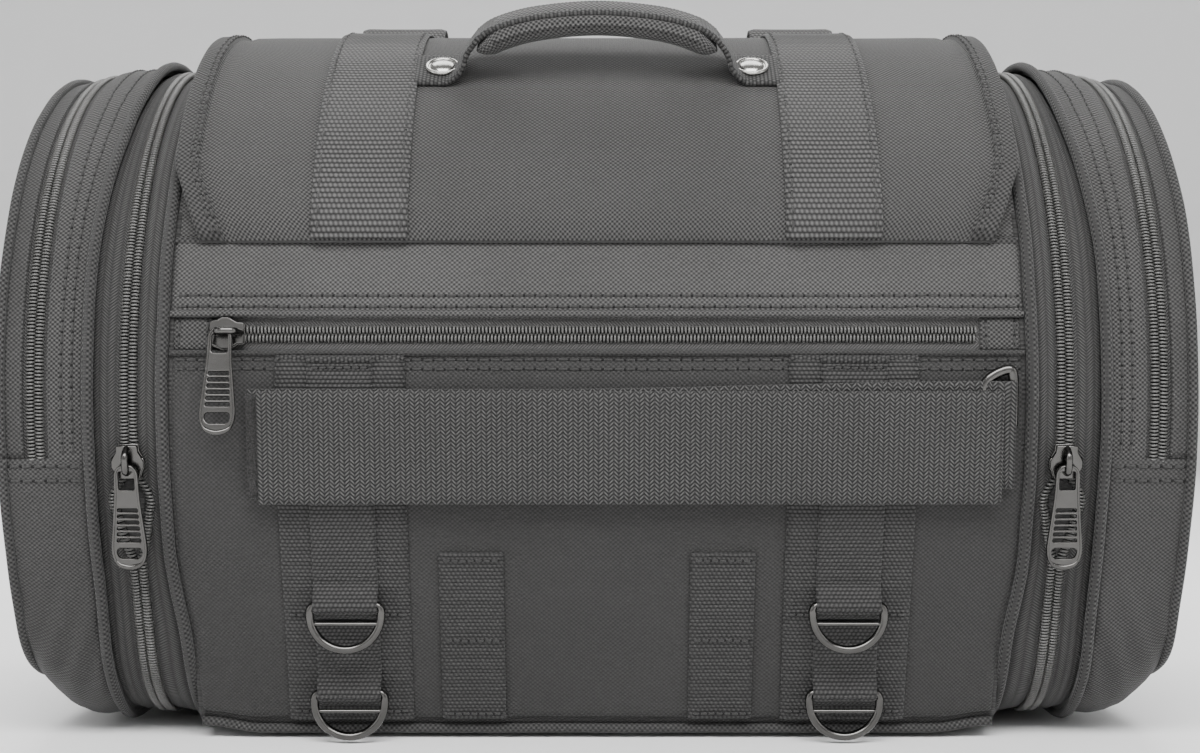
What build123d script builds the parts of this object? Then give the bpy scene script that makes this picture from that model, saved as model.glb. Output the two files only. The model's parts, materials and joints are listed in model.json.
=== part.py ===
from build123d import *
import os
from math import asin, cos, radians, sin, sqrt, tan

# Soft roll-shaped luggage bag with a lifting flap, two end pockets and strap hardware.
# Frame: origin at the centre of the base, +X to the right along the roll, -Y to the front, +Z up.

# Section of the roll: an arc over the top, straight sides leaning in to a flat base.
RADIUS = 142.5
CENTRE_Z = 142.5
LEAN = radians(20)
BODY_CORNER = 18.0
POCKET_CORNER = 60.0

# Stations along the roll, measured from its middle.
SIDE_WALL_X = (164.8, 167.8)
BODY_HALF = 164.5
INNER_PIPING_X = (168.2, 171.8)
RING_TAPE_X = (172.0, 194.0)
RING_ZIP_X = 181.0
POCKET_BACK_X = (194.4, 196.4)
MID_PIPING_X = (194.2, 197.8)
GUSSET_X = (198.0, 212.0)
POCKET_TAPE_X = (212.2, 222.2)
POCKET_ZIP_X = 217.0
LID_STRIP_X = 222.8
END_PIPING_X = (227.6, 231.4)
END_X = 242.0
END_SPHERE = 846.0

# Heights.
FABRIC = 3.0
RECESS_Z = (157.0, 170.0)
SEAM_Z = 197.0
RIM_Z = 200.5
HEM_Z = 115.0
CHAIN_WIDTH = 7.0
WEBBING = 1.3

# Flap, on a circle of its own that sits a little above the roll.
FLAP_CENTRE_Z = 154.5
FLAP_RADIUS = 144.5
FLAP_THICK = 4.0
FLAP_HALF = 167.0
FLAP_FRONT_Z = 201.0
FLAP_BACK_Z = 203.0
FLAP_CORNER = (12.0, 30.0)
FLAP_STRAP_X = 92.5
FLAP_STRAP_WIDTH = 37.5

# Front strap hardware.
WIDE_WEB_X = 99.0
WIDE_WEB = 50.0
NARROW_WEB = 25.4
BELT_TAB_X = 49.5
MOUNT_STRAP_Z = (98.0, 142.0)
MOUNT_STRAP_X = (-130.0, 156.0)
RING_SIZE = (31.6, 21.0)
RING_WIRE = 3.4
UPPER_RING_Z = 57.0
LOWER_RING_Z = 20.5

# Zip hardware.
SLIDER = (10.5, 13.0, 2.4)
PULL = (14.5, 40.0, 1.8)
PIVOT_HEIGHT = 5.4
FRONT_PIVOT_HEIGHT = 7.0
FRONT_SLIDER_X = -144.0
RING_SLIDER_ANGLE = radians(-12)
POCKET_SLIDER_ANGLE = radians(-5)

# Carrying handle, on a plane that leans forward from the flap.
HANDLE_WIDTH = 25.0
HANDLE_LEAN = 20.0
HANDLE_FOOT_Y = -84.5
HANDLE_RISE = 27.5
RIVET_X = 64.0
RIVET_RADIUS = 6.25

os.makedirs("parts", exist_ok=True)


def write(name, part):
    """Label a finished piece and write it as one file."""
    part.label = name
    export_step(part, f"parts/{name}.step")


def outline(inset, corner=BODY_CORNER):
    """Closed section of the roll, drawn with x to the back and y up, shrunk by inset."""
    radius = RADIUS - inset
    floor = max(inset, 0.0)
    shoulder_y = radius * cos(LEAN)
    shoulder_z = CENTRE_Z - radius * sin(LEAN)
    base_y = shoulder_y - (shoulder_z - floor) * tan(LEAN)
    with BuildSketch() as face:
        with BuildLine():
            Polyline((shoulder_y, shoulder_z), (base_y, floor), (-base_y, floor), (-shoulder_y, shoulder_z))
            ThreePointArc((-shoulder_y, shoulder_z), (0, CENTRE_Z + radius), (shoulder_y, shoulder_z))
        make_face()
        fillet(face.vertices().group_by(Axis.Y)[0], corner - floor)
    return face.sketch


def wall(x, outer, inner, window=None, corner=BODY_CORNER):
    """Slice of the roll's wall at x between two insets, kept inside a (y0, z0, y1, z1) window."""
    with BuildSketch(Plane.YZ.offset(x)) as strip:
        add(outline(outer, corner))
        add(outline(inner, corner), mode=Mode.SUBTRACT)
        if window:
            y0, z0, y1, z1 = window
            with Locations(((y0 + y1) / 2, (z0 + z1) / 2)):
                Rectangle(y1 - y0, z1 - z0, mode=Mode.INTERSECT)
    return strip.sketch


def front(z0, z1):
    """Window on the front half between two heights."""
    return (-200, z0, 0, z1)


def rear(z0, z1):
    """Window on the back half between two heights."""
    return (0, z0, 200, z1)


def above(z):
    """Window on everything above a height."""
    return (-200, z, 200, 400)


def below(z):
    """Window on everything below a height."""
    return (-200, -10, 200, z)


def wall_y(z, proud=0.0):
    """Distance of the wall from the middle plane at a height, standing proud of it."""
    radius = RADIUS + proud
    shoulder_z = CENTRE_Z - radius * sin(LEAN)
    if z >= shoulder_z:
        return sqrt(radius**2 - (z - CENTRE_Z) ** 2)
    return radius * cos(LEAN) - (shoulder_z - z) * tan(LEAN)


def flap_slice(x, outer, inner, front_z, back_z):
    """Slice of the flap's layer at x between two radii, from the front edge over to the back."""
    with BuildSketch(Plane.YZ.offset(x)) as strip:
        with Locations((0, FLAP_CENTRE_Z)):
            Circle(outer)
            Circle(inner, mode=Mode.SUBTRACT)
        with Locations((-100, front_z + 200)):
            Rectangle(200, 400, mode=Mode.INTERSECT)
    with BuildSketch(Plane.YZ.offset(x)) as back:
        with Locations((0, FLAP_CENTRE_Z)):
            Circle(outer)
            Circle(inner, mode=Mode.SUBTRACT)
        with Locations((100, back_z + 200)):
            Rectangle(200, 400, mode=Mode.INTERSECT)
    return strip.sketch + back.sketch


def flap_y(z, radius=FLAP_RADIUS):
    """Distance of the flap's circle from the middle plane at a height."""
    return sqrt(radius**2 - (z - FLAP_CENTRE_Z) ** 2)


# ---------------------------------------------------------------- main compartment

with BuildPart() as front_panel:
    extrude(wall(-BODY_HALF, 0, FABRIC, front(FABRIC, RECESS_Z[0])), amount=2 * BODY_HALF)
write("front_panel", front_panel.part)

with BuildPart() as front_facing:
    extrude(wall(-BODY_HALF, 0, FABRIC, front(RECESS_Z[1], SEAM_Z)), amount=2 * BODY_HALF)
write("front_facing", front_facing.part)

with BuildPart() as rim_binding:
    extrude(wall(-BODY_HALF, -0.6, FABRIC + 0.4, front(SEAM_Z, RIM_Z)), amount=2 * BODY_HALF)
    extrude(wall(-BODY_HALF, -0.6, FABRIC + 0.4, rear(SEAM_Z, RIM_Z)), amount=2 * BODY_HALF)
write("rim_binding", rim_binding.part)

with BuildPart() as rear_panel:
    extrude(wall(-BODY_HALF, 0, FABRIC, rear(FABRIC, SEAM_Z)), amount=2 * BODY_HALF)
write("rear_panel", rear_panel.part)

with BuildPart() as base_panel:
    extrude(wall(-BODY_HALF, 0, FABRIC, below(FABRIC)), amount=2 * BODY_HALF)
write("base_panel", base_panel.part)

with BuildPart() as base_stiffener:
    with BuildSketch(Plane.XY.offset(FABRIC + 0.2)):
        RectangleRounded(2 * BODY_HALF - 12, 160, 12)
    extrude(amount=2.5)
write("base_stiffener", base_stiffener.part)

with BuildPart() as base_piping:
    extrude(wall(-BODY_HALF, -2.6, -0.1, front(2, 9)), amount=2 * BODY_HALF)
    extrude(wall(-BODY_HALF, -2.6, -0.1, rear(2, 9)), amount=2 * BODY_HALF)
write("base_piping", base_piping.part)

with BuildPart() as side_walls:
    with BuildSketch(Plane.YZ.offset(SIDE_WALL_X[0])):
        add(outline(0))
    extrude(amount=SIDE_WALL_X[1] - SIDE_WALL_X[0])
    mirror(about=Plane.YZ)
write("side_walls", side_walls.part)

with BuildPart() as inner_pipings:
    extrude(wall(INNER_PIPING_X[0], -2.5, 2), amount=INNER_PIPING_X[1] - INNER_PIPING_X[0])
    mirror(about=Plane.YZ)
write("inner_pipings", inner_pipings.part)

# ---------------------------------------------------------------- front pocket zip

with BuildPart() as front_pocket_lining:
    extrude(wall(-BODY_HALF + 6, FABRIC + 0.4, FABRIC + 1.4, front(60, 180)), amount=2 * BODY_HALF - 12)
write("front_pocket_lining", front_pocket_lining.part)

with BuildPart() as front_zip_tape:
    extrude(wall(-BODY_HALF, 1.8, FABRIC, front(*RECESS_Z)), amount=2 * BODY_HALF)
write("front_zip_tape", front_zip_tape.part)

FRONT_ZIP_Z = (RECESS_Z[0] + RECESS_Z[1]) / 2
FRONT_CHAIN_X = (-146.0, 147.0)
with BuildPart() as front_zip_chain:
    chain_window = front(FRONT_ZIP_Z - CHAIN_WIDTH / 2, FRONT_ZIP_Z + CHAIN_WIDTH / 2)
    extrude(wall(FRONT_CHAIN_X[0], 0.3, 1.8, chain_window), amount=FRONT_CHAIN_X[1] - FRONT_CHAIN_X[0])
write("front_zip_chain", front_zip_chain.part)

with BuildPart() as front_zip_end_tabs:
    extrude(wall(-BODY_HALF, 0.3, 1.8, front(*RECESS_Z)), amount=17)
    extrude(wall(FRONT_CHAIN_X[1] + 0.5, 0.3, 1.8, front(*RECESS_Z)), amount=BODY_HALF - FRONT_CHAIN_X[1] - 0.5)
write("front_zip_end_tabs", front_zip_end_tabs.part)

# ---------------------------------------------------------------- end pockets


def both_ends(name, x, width, outer, inner, window=None):
    """Ring or part ring round both ends of the roll, in one node."""
    with BuildPart() as rings:
        extrude(wall(x, outer, inner, window, POCKET_CORNER), amount=width)
        mirror(about=Plane.YZ)
    write(name, rings.part)


def span(pair):
    """Width between two stations."""
    return pair[1] - pair[0]


both_ends("ring_zip_tapes", RING_TAPE_X[0], span(RING_TAPE_X), 1.8, FABRIC)
both_ends("ring_zip_chains", RING_ZIP_X - CHAIN_WIDTH / 2, CHAIN_WIDTH, 0.3, 1.8)
both_ends("expansion_gussets", RING_TAPE_X[0] + 2, span(RING_TAPE_X) - 4, 4, 6)
both_ends("mid_pipings", MID_PIPING_X[0], span(MID_PIPING_X), -4, 2)
both_ends("pocket_gussets", GUSSET_X[0], span(GUSSET_X), -1, 2, above(HEM_Z))
both_ends("pocket_zip_tapes", POCKET_TAPE_X[0], span(POCKET_TAPE_X), 0.8, 2, above(HEM_Z))
both_ends("pocket_zip_chains", POCKET_ZIP_X - CHAIN_WIDTH / 2, CHAIN_WIDTH, -0.7, 0.8, above(HEM_Z))
both_ends("pocket_hems", GUSSET_X[0], LID_STRIP_X - GUSSET_X[0] - 0.4, -2.2, -1.1, (-200, HEM_Z - 9, 200, HEM_Z))

with BuildPart() as pocket_backs:
    with BuildSketch(Plane.YZ.offset(POCKET_BACK_X[0])):
        add(outline(2.2, POCKET_CORNER))
    extrude(amount=span(POCKET_BACK_X))
    mirror(about=Plane.YZ)
write("pocket_backs", pocket_backs.part)


def end_cap(side, window):
    """Bulged end wall of a pocket with the strip of its edge, kept inside a window."""
    with BuildPart() as cap:
        with BuildSketch(Plane.YZ.offset(LID_STRIP_X)):
            add(outline(0, POCKET_CORNER))
            y0, z0, y1, z1 = window
            with Locations(((y0 + y1) / 2, (z0 + z1) / 2)):
                Rectangle(y1 - y0, z1 - z0, mode=Mode.INTERSECT)
        extrude(amount=END_X - LID_STRIP_X + 5)
        with Locations((END_X - END_SPHERE, 0, CENTRE_Z)):
            Sphere(END_SPHERE, mode=Mode.INTERSECT)
        with BuildSketch(Plane.YZ.offset(LID_STRIP_X)):
            add(outline(FABRIC, POCKET_CORNER))
        extrude(amount=sqrt((END_SPHERE - FABRIC) ** 2 - RADIUS**2) + END_X - END_SPHERE - LID_STRIP_X, mode=Mode.SUBTRACT)
        if side < 0:
            mirror(about=Plane.YZ, mode=Mode.REPLACE)
    return cap.part


for label, side in (("left", -1), ("right", 1)):
    write(f"{label}_lid_panel", end_cap(side, above(HEM_Z + 0.5)))
    x = END_PIPING_X[0] if side > 0 else -END_PIPING_X[1]
    with BuildPart() as lid_piping:
        extrude(wall(x, -2.5, -0.1, above(HEM_Z + 0.5), POCKET_CORNER), amount=span(END_PIPING_X))
    write(f"{label}_lid_piping", lid_piping.part)

both_ends("lower_end_pipings", END_PIPING_X[0], span(END_PIPING_X), -2.5, -0.1, (-200, 14, 200, HEM_Z - 0.5))

with BuildPart() as pocket_lower_panels:
    extrude(wall(GUSSET_X[0], -1, 2, below(HEM_Z - 0.2), POCKET_CORNER), amount=LID_STRIP_X - GUSSET_X[0])
    add(end_cap(1, below(HEM_Z - 0.2)))
    mirror(about=Plane.YZ)
write("pocket_lower_panels", pocket_lower_panels.part)

# ---------------------------------------------------------------- flap

with BuildPart() as flap:
    extrude(
        flap_slice(-FLAP_HALF, FLAP_RADIUS, FLAP_RADIUS - FLAP_THICK, FLAP_FRONT_Z, FLAP_BACK_Z),
        amount=2 * FLAP_HALF,
    )
    with BuildSketch(Plane.XZ):
        with BuildLine():
            Polyline(
                (FLAP_HALF - FLAP_CORNER[0], FLAP_FRONT_Z - 1),
                (FLAP_HALF + 1, FLAP_FRONT_Z - 1),
                (FLAP_HALF + 1, FLAP_FRONT_Z + FLAP_CORNER[1]),
                (FLAP_HALF - FLAP_CORNER[0], FLAP_FRONT_Z - 1),
            )
        make_face()
        mirror(about=Plane.YZ)
    extrude(amount=200, mode=Mode.SUBTRACT)
write("flap", flap.part)

with BuildPart() as flap_edge_binding:
    for x in (-FLAP_HALF, FLAP_HALF - 10):
        extrude(
            flap_slice(x, FLAP_RADIUS + 1.0, FLAP_RADIUS + 0.05, FLAP_FRONT_Z + FLAP_CORNER[1], FLAP_BACK_Z),
            amount=10,
        )
write("flap_edge_binding", flap_edge_binding.part)

STRAP_OUTER = FLAP_RADIUS + 0.05 + WEBBING
STRAP_END_Z = 214.0
with BuildPart() as flap_straps:
    for x in (-FLAP_STRAP_X, FLAP_STRAP_X):
        extrude(
            flap_slice(
                x - FLAP_STRAP_WIDTH / 2, STRAP_OUTER, FLAP_RADIUS + 0.05, FLAP_FRONT_Z, STRAP_END_Z
            ),
            amount=FLAP_STRAP_WIDTH,
        )
write("flap_straps", flap_straps.part)

# Cargo loops: arches of webbing that stand on the back half of the flap straps.
LOOP_FOOT_Y = (30.0, 75.0)
LOOP_TOP = 314.0


def loop_foot(y):
    """Height of the strap's outer face at a distance behind the middle."""
    return FLAP_CENTRE_Z + sqrt(STRAP_OUTER**2 - y**2) + 0.1


with BuildPart() as cargo_loops:
    with BuildSketch(Plane.YZ.offset(FLAP_STRAP_X - FLAP_STRAP_WIDTH / 2)):
        with BuildLine():
            y0, y1 = LOOP_FOOT_Y
            crown = ((y0 + y1) / 2 - 4, LOOP_TOP)
            inner_crown = (crown[0], LOOP_TOP - 1.8)
            ThreePointArc((y0, loop_foot(y0)), crown, (y1, loop_foot(y1)))
            Line((y1, loop_foot(y1)), (y1 - 2, loop_foot(y1 - 2)))
            ThreePointArc((y1 - 2, loop_foot(y1 - 2)), inner_crown, (y0 + 2, loop_foot(y0 + 2)))
            Line((y0 + 2, loop_foot(y0 + 2)), (y0, loop_foot(y0)))
        make_face()
    extrude(amount=FLAP_STRAP_WIDTH)
    mirror(about=Plane.YZ)
write("cargo_loops", cargo_loops.part)

# ---------------------------------------------------------------- handle

foot_z = FLAP_CENTRE_Z + sqrt(FLAP_RADIUS**2 - HANDLE_FOOT_Y**2)
tab_normal = Vector(0, HANDLE_FOOT_Y, foot_z - FLAP_CENTRE_Z).normalized()
tab_plane = Plane(origin=(0, HANDLE_FOOT_Y, foot_z), x_dir=(1, 0, 0), z_dir=tab_normal)

with BuildPart() as handle_tabs:
    with BuildSketch(tab_plane.offset(0.3)):
        with Locations((-RIVET_X + 1, 0), (RIVET_X - 1, 0)):
            RectangleRounded(16, HANDLE_WIDTH, 5)
    extrude(amount=2.4)
write("handle_tabs", handle_tabs.part)

with BuildPart() as handle_rivets:
    with BuildSketch(tab_plane.offset(2.8)):
        with Locations((-RIVET_X, 0), (RIVET_X, 0)):
            Circle(RIVET_RADIUS)
    extrude(amount=2.0)
    fillet(handle_rivets.edges().filter_by(GeomType.CIRCLE).group_by(SortBy.DISTANCE)[-1], 0.6)
write("handle_rivets", handle_rivets.part)

# The arch is drawn with x along the bag and y up the leaning plane from the tabs' face.
lean = radians(HANDLE_LEAN)
arch_plane = Plane(
    origin=(0, HANDLE_FOOT_Y, foot_z + 2.8),
    x_dir=(1, 0, 0),
    z_dir=(0, -cos(lean), -sin(lean)),
)
STRAP_THICK = 2.4
GRIP_THICK = 8.6
ARCH_KNEE = (47.0, 16.5)
ARCH_FOOT = (55.5, 4.5)


with BuildPart() as handle_strap:
    with BuildSketch(arch_plane.offset(-HANDLE_WIDTH / 2)):
        with BuildLine():
            Polyline(
                (-ARCH_FOOT[0] + 3, ARCH_FOOT[1]),
                (-ARCH_FOOT[0], ARCH_FOOT[1]),
                (-ARCH_KNEE[0], ARCH_KNEE[1]),
            )
            ThreePointArc((-ARCH_KNEE[0], ARCH_KNEE[1]), (0, HANDLE_RISE - 1), ARCH_KNEE)
            Polyline(
                ARCH_KNEE,
                ARCH_FOOT,
                (ARCH_FOOT[0] - 3, ARCH_FOOT[1]),
                (ARCH_KNEE[0] - 2, ARCH_KNEE[1] - STRAP_THICK),
            )
            ThreePointArc(
                (ARCH_KNEE[0] - 2, ARCH_KNEE[1] - STRAP_THICK),
                (0, HANDLE_RISE - 1 - STRAP_THICK),
                (-ARCH_KNEE[0] + 2, ARCH_KNEE[1] - STRAP_THICK),
            )
            Line((-ARCH_KNEE[0] + 2, ARCH_KNEE[1] - STRAP_THICK), (-ARCH_FOOT[0] + 3, ARCH_FOOT[1]))
        make_face()
    extrude(amount=HANDLE_WIDTH)
write("handle_strap", handle_strap.part)

with BuildPart() as handle_grip:
    with BuildSketch(arch_plane.offset(-HANDLE_WIDTH / 2 + 1)):
        with BuildLine():
            knee = (ARCH_KNEE[0] - 4.2, ARCH_KNEE[1] - STRAP_THICK - 0.2)
            top = HANDLE_RISE - 1.3 - STRAP_THICK
            ThreePointArc((-knee[0], knee[1]), (0, top), knee)
            Line(knee, (knee[0] - 3, knee[1] - GRIP_THICK + 2))
            ThreePointArc(
                (knee[0] - 3, knee[1] - GRIP_THICK + 2),
                (0, top - GRIP_THICK),
                (-knee[0] + 3, knee[1] - GRIP_THICK + 2),
            )
            Line((-knee[0] + 3, knee[1] - GRIP_THICK + 2), (-knee[0], knee[1]))
        make_face()
    extrude(amount=HANDLE_WIDTH - 2)
write("handle_grip", handle_grip.part)

# ---------------------------------------------------------------- front webbing

LAYER = WEBBING + 0.1
with BuildPart() as wide_webbing:
    for x in (-WIDE_WEB_X, WIDE_WEB_X):
        strip = wall(x - WIDE_WEB / 2, -LAYER, -0.1, front(10, 154))
        extrude(strip, amount=WIDE_WEB)
write("wide_webbing", wide_webbing.part)

with BuildPart() as narrow_webbing:
    for x in (-WIDE_WEB_X, WIDE_WEB_X):
        for z0, z1 in ((UPPER_RING_Z + 6, 152), (LOWER_RING_Z + 6, UPPER_RING_Z - 4)):
            extrude(wall(x - NARROW_WEB / 2, -2 * LAYER, -LAYER - 0.1, front(z0, z1)), amount=NARROW_WEB)
write("narrow_webbing", narrow_webbing.part)

with BuildPart() as belt_tabs:
    for x in (-BELT_TAB_X, BELT_TAB_X):
        extrude(wall(x - NARROW_WEB / 2, -LAYER - 0.6, -0.1, front(10, 78)), amount=NARROW_WEB)
write("belt_tabs", belt_tabs.part)

STRAP_REAR = 2 * LAYER + 0.2
STRAP_FRONT = STRAP_REAR + WEBBING + 0.4
with BuildPart() as mount_strap_rear:
    extrude(
        wall(MOUNT_STRAP_X[0] - 4, -STRAP_REAR - WEBBING, -STRAP_REAR, front(*MOUNT_STRAP_Z)),
        amount=span(MOUNT_STRAP_X),
    )
write("mount_strap_rear", mount_strap_rear.part)

with BuildPart() as mount_strap_tail:
    extrude(
        wall(MOUNT_STRAP_X[0], -STRAP_FRONT - WEBBING, -STRAP_FRONT, front(*MOUNT_STRAP_Z)),
        amount=span(MOUNT_STRAP_X),
    )
write("mount_strap_tail", mount_strap_tail.part)

with BuildPart() as mount_strap_ring:
    strap_top_y = -wall_y(MOUNT_STRAP_Z[1] + 5)
    with BuildSketch(Plane.XZ.offset(-strap_top_y + 4.0)):
        with Locations((151, MOUNT_STRAP_Z[1] + 4)):
            SlotOverall(14, 7)
            SlotOverall(9, 2.4, mode=Mode.SUBTRACT)
    extrude(amount=2.4)
write("mount_strap_ring", mount_strap_ring.part)

# ---------------------------------------------------------------- tie-down rings


LOOP_BORE = RING_WIRE / 2 * sqrt(2) + 0.3
LOOP_OUTER = LOOP_BORE + 1.1


def ring_carrier(z):
    """Place front to back of a tie-down ring's bar at a height, off the wide webbing."""
    return -wall_y(z, LAYER + 0.4 + LOOP_OUTER)


for level, z in (("upper", UPPER_RING_Z), ("lower", LOWER_RING_Z)):
    for label, side in (("left", -1), ("right", 1)):
        half = RING_SIZE[0] / 2
        inner = half - RING_WIRE
        top = RING_WIRE / 2
        leg = top - RING_SIZE[1] + half
        bar_plane = Plane(
            origin=(side * WIDE_WEB_X, ring_carrier(z) + RING_WIRE / 2, z), x_dir=(1, 0, 0), z_dir=(0, -1, 0)
        )
        with BuildPart() as tie_ring:
            with BuildSketch(bar_plane):
                with BuildLine():
                    Polyline((-half, leg), (-half, top), (half, top), (half, leg))
                    ThreePointArc((half, leg), (0, leg - half), (-half, leg))
                make_face()
                with BuildLine():
                    Polyline((-inner, leg), (-inner, -top), (inner, -top), (inner, leg))
                    ThreePointArc((inner, leg), (0, leg - inner), (-inner, leg))
                make_face(mode=Mode.SUBTRACT)
            extrude(amount=RING_WIRE)
        write(f"{label}_{level}_tie_ring", tie_ring.part)

# Webbing loops that fold round each ring's bar and are sewn to the wall above it.
with BuildPart() as ring_loops:
    for x in (-WIDE_WEB_X, WIDE_WEB_X):
        for z in (UPPER_RING_Z, LOWER_RING_Z):
            with BuildSketch(Plane.YZ.offset(x - NARROW_WEB / 2 + 2)):
                with Locations((ring_carrier(z), z)):
                    Circle(LOOP_OUTER)
                    Circle(LOOP_BORE, mode=Mode.SUBTRACT)
            extrude(amount=NARROW_WEB - 4)
write("ring_loops", ring_loops.part)

# ---------------------------------------------------------------- zip sliders and pulls


def slider(plane, width, length, pivot):
    """Zip slider on a plane whose z points out of the wall, with an arch for the pull."""
    with BuildPart() as body:
        with BuildSketch(plane.offset(0.1)):
            RectangleRounded(width, length, 2.5)
        extrude(amount=SLIDER[2])
        with BuildSketch(plane.offset(0.1 + SLIDER[2])):
            Rectangle(3.6, 10)
        extrude(amount=pivot + 2.2 - SLIDER[2])
        with BuildSketch(plane.offset(pivot - 1.7)):
            Rectangle(5, 5.2)
        extrude(amount=3.4, mode=Mode.SUBTRACT)
    return body.part


def pull(plane, pivot):
    """Zip pull hanging along the plane's -y from its pivot bar."""
    width, length, thick = PULL
    with BuildPart() as tag:
        with BuildSketch(plane.offset(pivot - thick / 2)):
            with Locations((0, -9)):
                RectangleRounded(11, 20, 2.5)
            with Locations((0, thick / 2 - length + 13)):
                Ellipse(width / 2, 13)
            with Locations((0, -7.2)):
                RectangleRounded(6.4, 12.6, 1.5, mode=Mode.SUBTRACT)
            with Locations((0, -length + 7)):
                Ellipse(4.4, 3, mode=Mode.SUBTRACT)
            with GridLocations(0, 2.5, 1, 6):
                with Locations((0, -24)):
                    SlotOverall(8.4, 1.3, mode=Mode.SUBTRACT)
        extrude(amount=thick)
    return tag.part


def wall_frame(x, angle, proud, back=False):
    """Plane on the roll's arc at an angle above the middle, y up along the wall and z outward."""
    sign = 1 if back else -1
    radius = RADIUS + proud
    origin = (x, sign * radius * cos(angle), CENTRE_Z + radius * sin(angle))
    return Plane(origin=origin, x_dir=(-sign, 0, 0), z_dir=(0, sign * cos(angle), sin(angle)))


front_angle = asin((FRONT_ZIP_Z - CENTRE_Z) / RADIUS)
front_frame = wall_frame(FRONT_SLIDER_X, front_angle, 0)
write("front_zip_slider", slider(front_frame, SLIDER[1], SLIDER[0], FRONT_PIVOT_HEIGHT))
write("front_zip_pull", pull(front_frame, FRONT_PIVOT_HEIGHT))

for label, side in (("left", -1), ("right", 1)):
    ring_frame = wall_frame(side * RING_ZIP_X, RING_SLIDER_ANGLE, 0)
    write(f"{label}_ring_zip_slider", slider(ring_frame, SLIDER[0], SLIDER[1], PIVOT_HEIGHT))
    write(f"{label}_ring_zip_pull", pull(ring_frame, PIVOT_HEIGHT))
    pocket_frame = wall_frame(side * POCKET_ZIP_X, POCKET_SLIDER_ANGLE, 1.0, back=True)
    write(f"{label}_pocket_zip_slider", slider(pocket_frame, SLIDER[0], SLIDER[1], PIVOT_HEIGHT))
    write(f"{label}_pocket_zip_pull", pull(pocket_frame, PIVOT_HEIGHT))

# ---------------------------------------------------------------- back buckles

BUCKLE_Y = 146.2
SOCKET = (42.0, 9.0, 26.0)
SOCKET_TOP_Z = 198.0
TONGUE = (6.0, 2.6, 16.0)
TONGUE_PITCH = 11.0
CLIP_TOP_Z = STRAP_END_Z - 0.4

with BuildPart() as buckle_sockets:
    for x in (-FLAP_STRAP_X, FLAP_STRAP_X):
        with BuildSketch(Plane.XY.offset(SOCKET_TOP_Z - SOCKET[2])):
            with Locations((x, BUCKLE_Y)):
                RectangleRounded(SOCKET[0], SOCKET[1], 3)
        extrude(amount=SOCKET[2])
        with BuildSketch(Plane.XY.offset(SOCKET_TOP_Z - SOCKET[2] + 4)):
            with Locations((x, BUCKLE_Y)):
                Rectangle(2 * TONGUE_PITCH + TONGUE[0] + 5, TONGUE[1] + 2.6)
        extrude(amount=SOCKET[2], mode=Mode.SUBTRACT)
write("buckle_sockets", buckle_sockets.part)

strap_tip_y = flap_y(STRAP_END_Z, STRAP_OUTER)
with BuildPart() as buckle_clips:
    for x in (-FLAP_STRAP_X, FLAP_STRAP_X):
        with BuildSketch(Plane.YZ.offset(x - SOCKET[0] / 2)):
            with BuildLine():
                Polyline(
                    (strap_tip_y + 0.6, CLIP_TOP_Z),
                    (strap_tip_y + 5.6, CLIP_TOP_Z),
                    (BUCKLE_Y + 3.5, SOCKET_TOP_Z + 1),
                    (BUCKLE_Y - 3.5, SOCKET_TOP_Z + 1),
                    close=True,
                )
            make_face()
        extrude(amount=SOCKET[0])
        with BuildSketch(Plane.XY.offset(SOCKET_TOP_Z + 2 - TONGUE[2])):
            with Locations((x, BUCKLE_Y)):
                with GridLocations(TONGUE_PITCH, 0, 3, 1):
                    Rectangle(TONGUE[0], TONGUE[1])
        extrude(amount=TONGUE[2])
write("buckle_clips", buckle_clips.part)

with BuildPart() as buckle_anchors:
    for x in (-FLAP_STRAP_X, FLAP_STRAP_X):
        extrude(wall(x - FLAP_STRAP_WIDTH / 2, -LAYER, -0.1, rear(120, 186)), amount=FLAP_STRAP_WIDTH)
write("buckle_anchors", buckle_anchors.part)
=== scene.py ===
import bisect
import json
import math
import random

import bpy
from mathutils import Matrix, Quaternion, Vector, noise


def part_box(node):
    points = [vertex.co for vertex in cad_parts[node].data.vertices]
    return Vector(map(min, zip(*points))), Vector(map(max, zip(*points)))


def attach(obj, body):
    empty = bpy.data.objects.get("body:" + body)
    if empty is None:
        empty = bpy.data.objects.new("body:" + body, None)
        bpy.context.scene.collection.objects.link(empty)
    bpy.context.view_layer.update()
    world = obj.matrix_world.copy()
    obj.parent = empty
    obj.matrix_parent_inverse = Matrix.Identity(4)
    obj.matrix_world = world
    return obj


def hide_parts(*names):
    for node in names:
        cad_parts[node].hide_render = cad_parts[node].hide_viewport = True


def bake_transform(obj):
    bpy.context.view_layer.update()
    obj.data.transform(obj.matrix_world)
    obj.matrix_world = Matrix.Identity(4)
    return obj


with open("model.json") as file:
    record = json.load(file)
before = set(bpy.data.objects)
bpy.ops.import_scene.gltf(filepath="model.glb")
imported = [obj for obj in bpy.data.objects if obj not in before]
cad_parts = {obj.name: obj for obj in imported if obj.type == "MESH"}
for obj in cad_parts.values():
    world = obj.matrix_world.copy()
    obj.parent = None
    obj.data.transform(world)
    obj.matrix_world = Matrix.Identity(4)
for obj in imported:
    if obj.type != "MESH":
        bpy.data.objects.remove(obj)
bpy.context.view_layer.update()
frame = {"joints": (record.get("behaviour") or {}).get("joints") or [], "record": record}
random.seed(7)

# Geometry is worked out in millimetres in the CAD's frame and scaled once, when a mesh is made.
MM = 0.001

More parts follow.
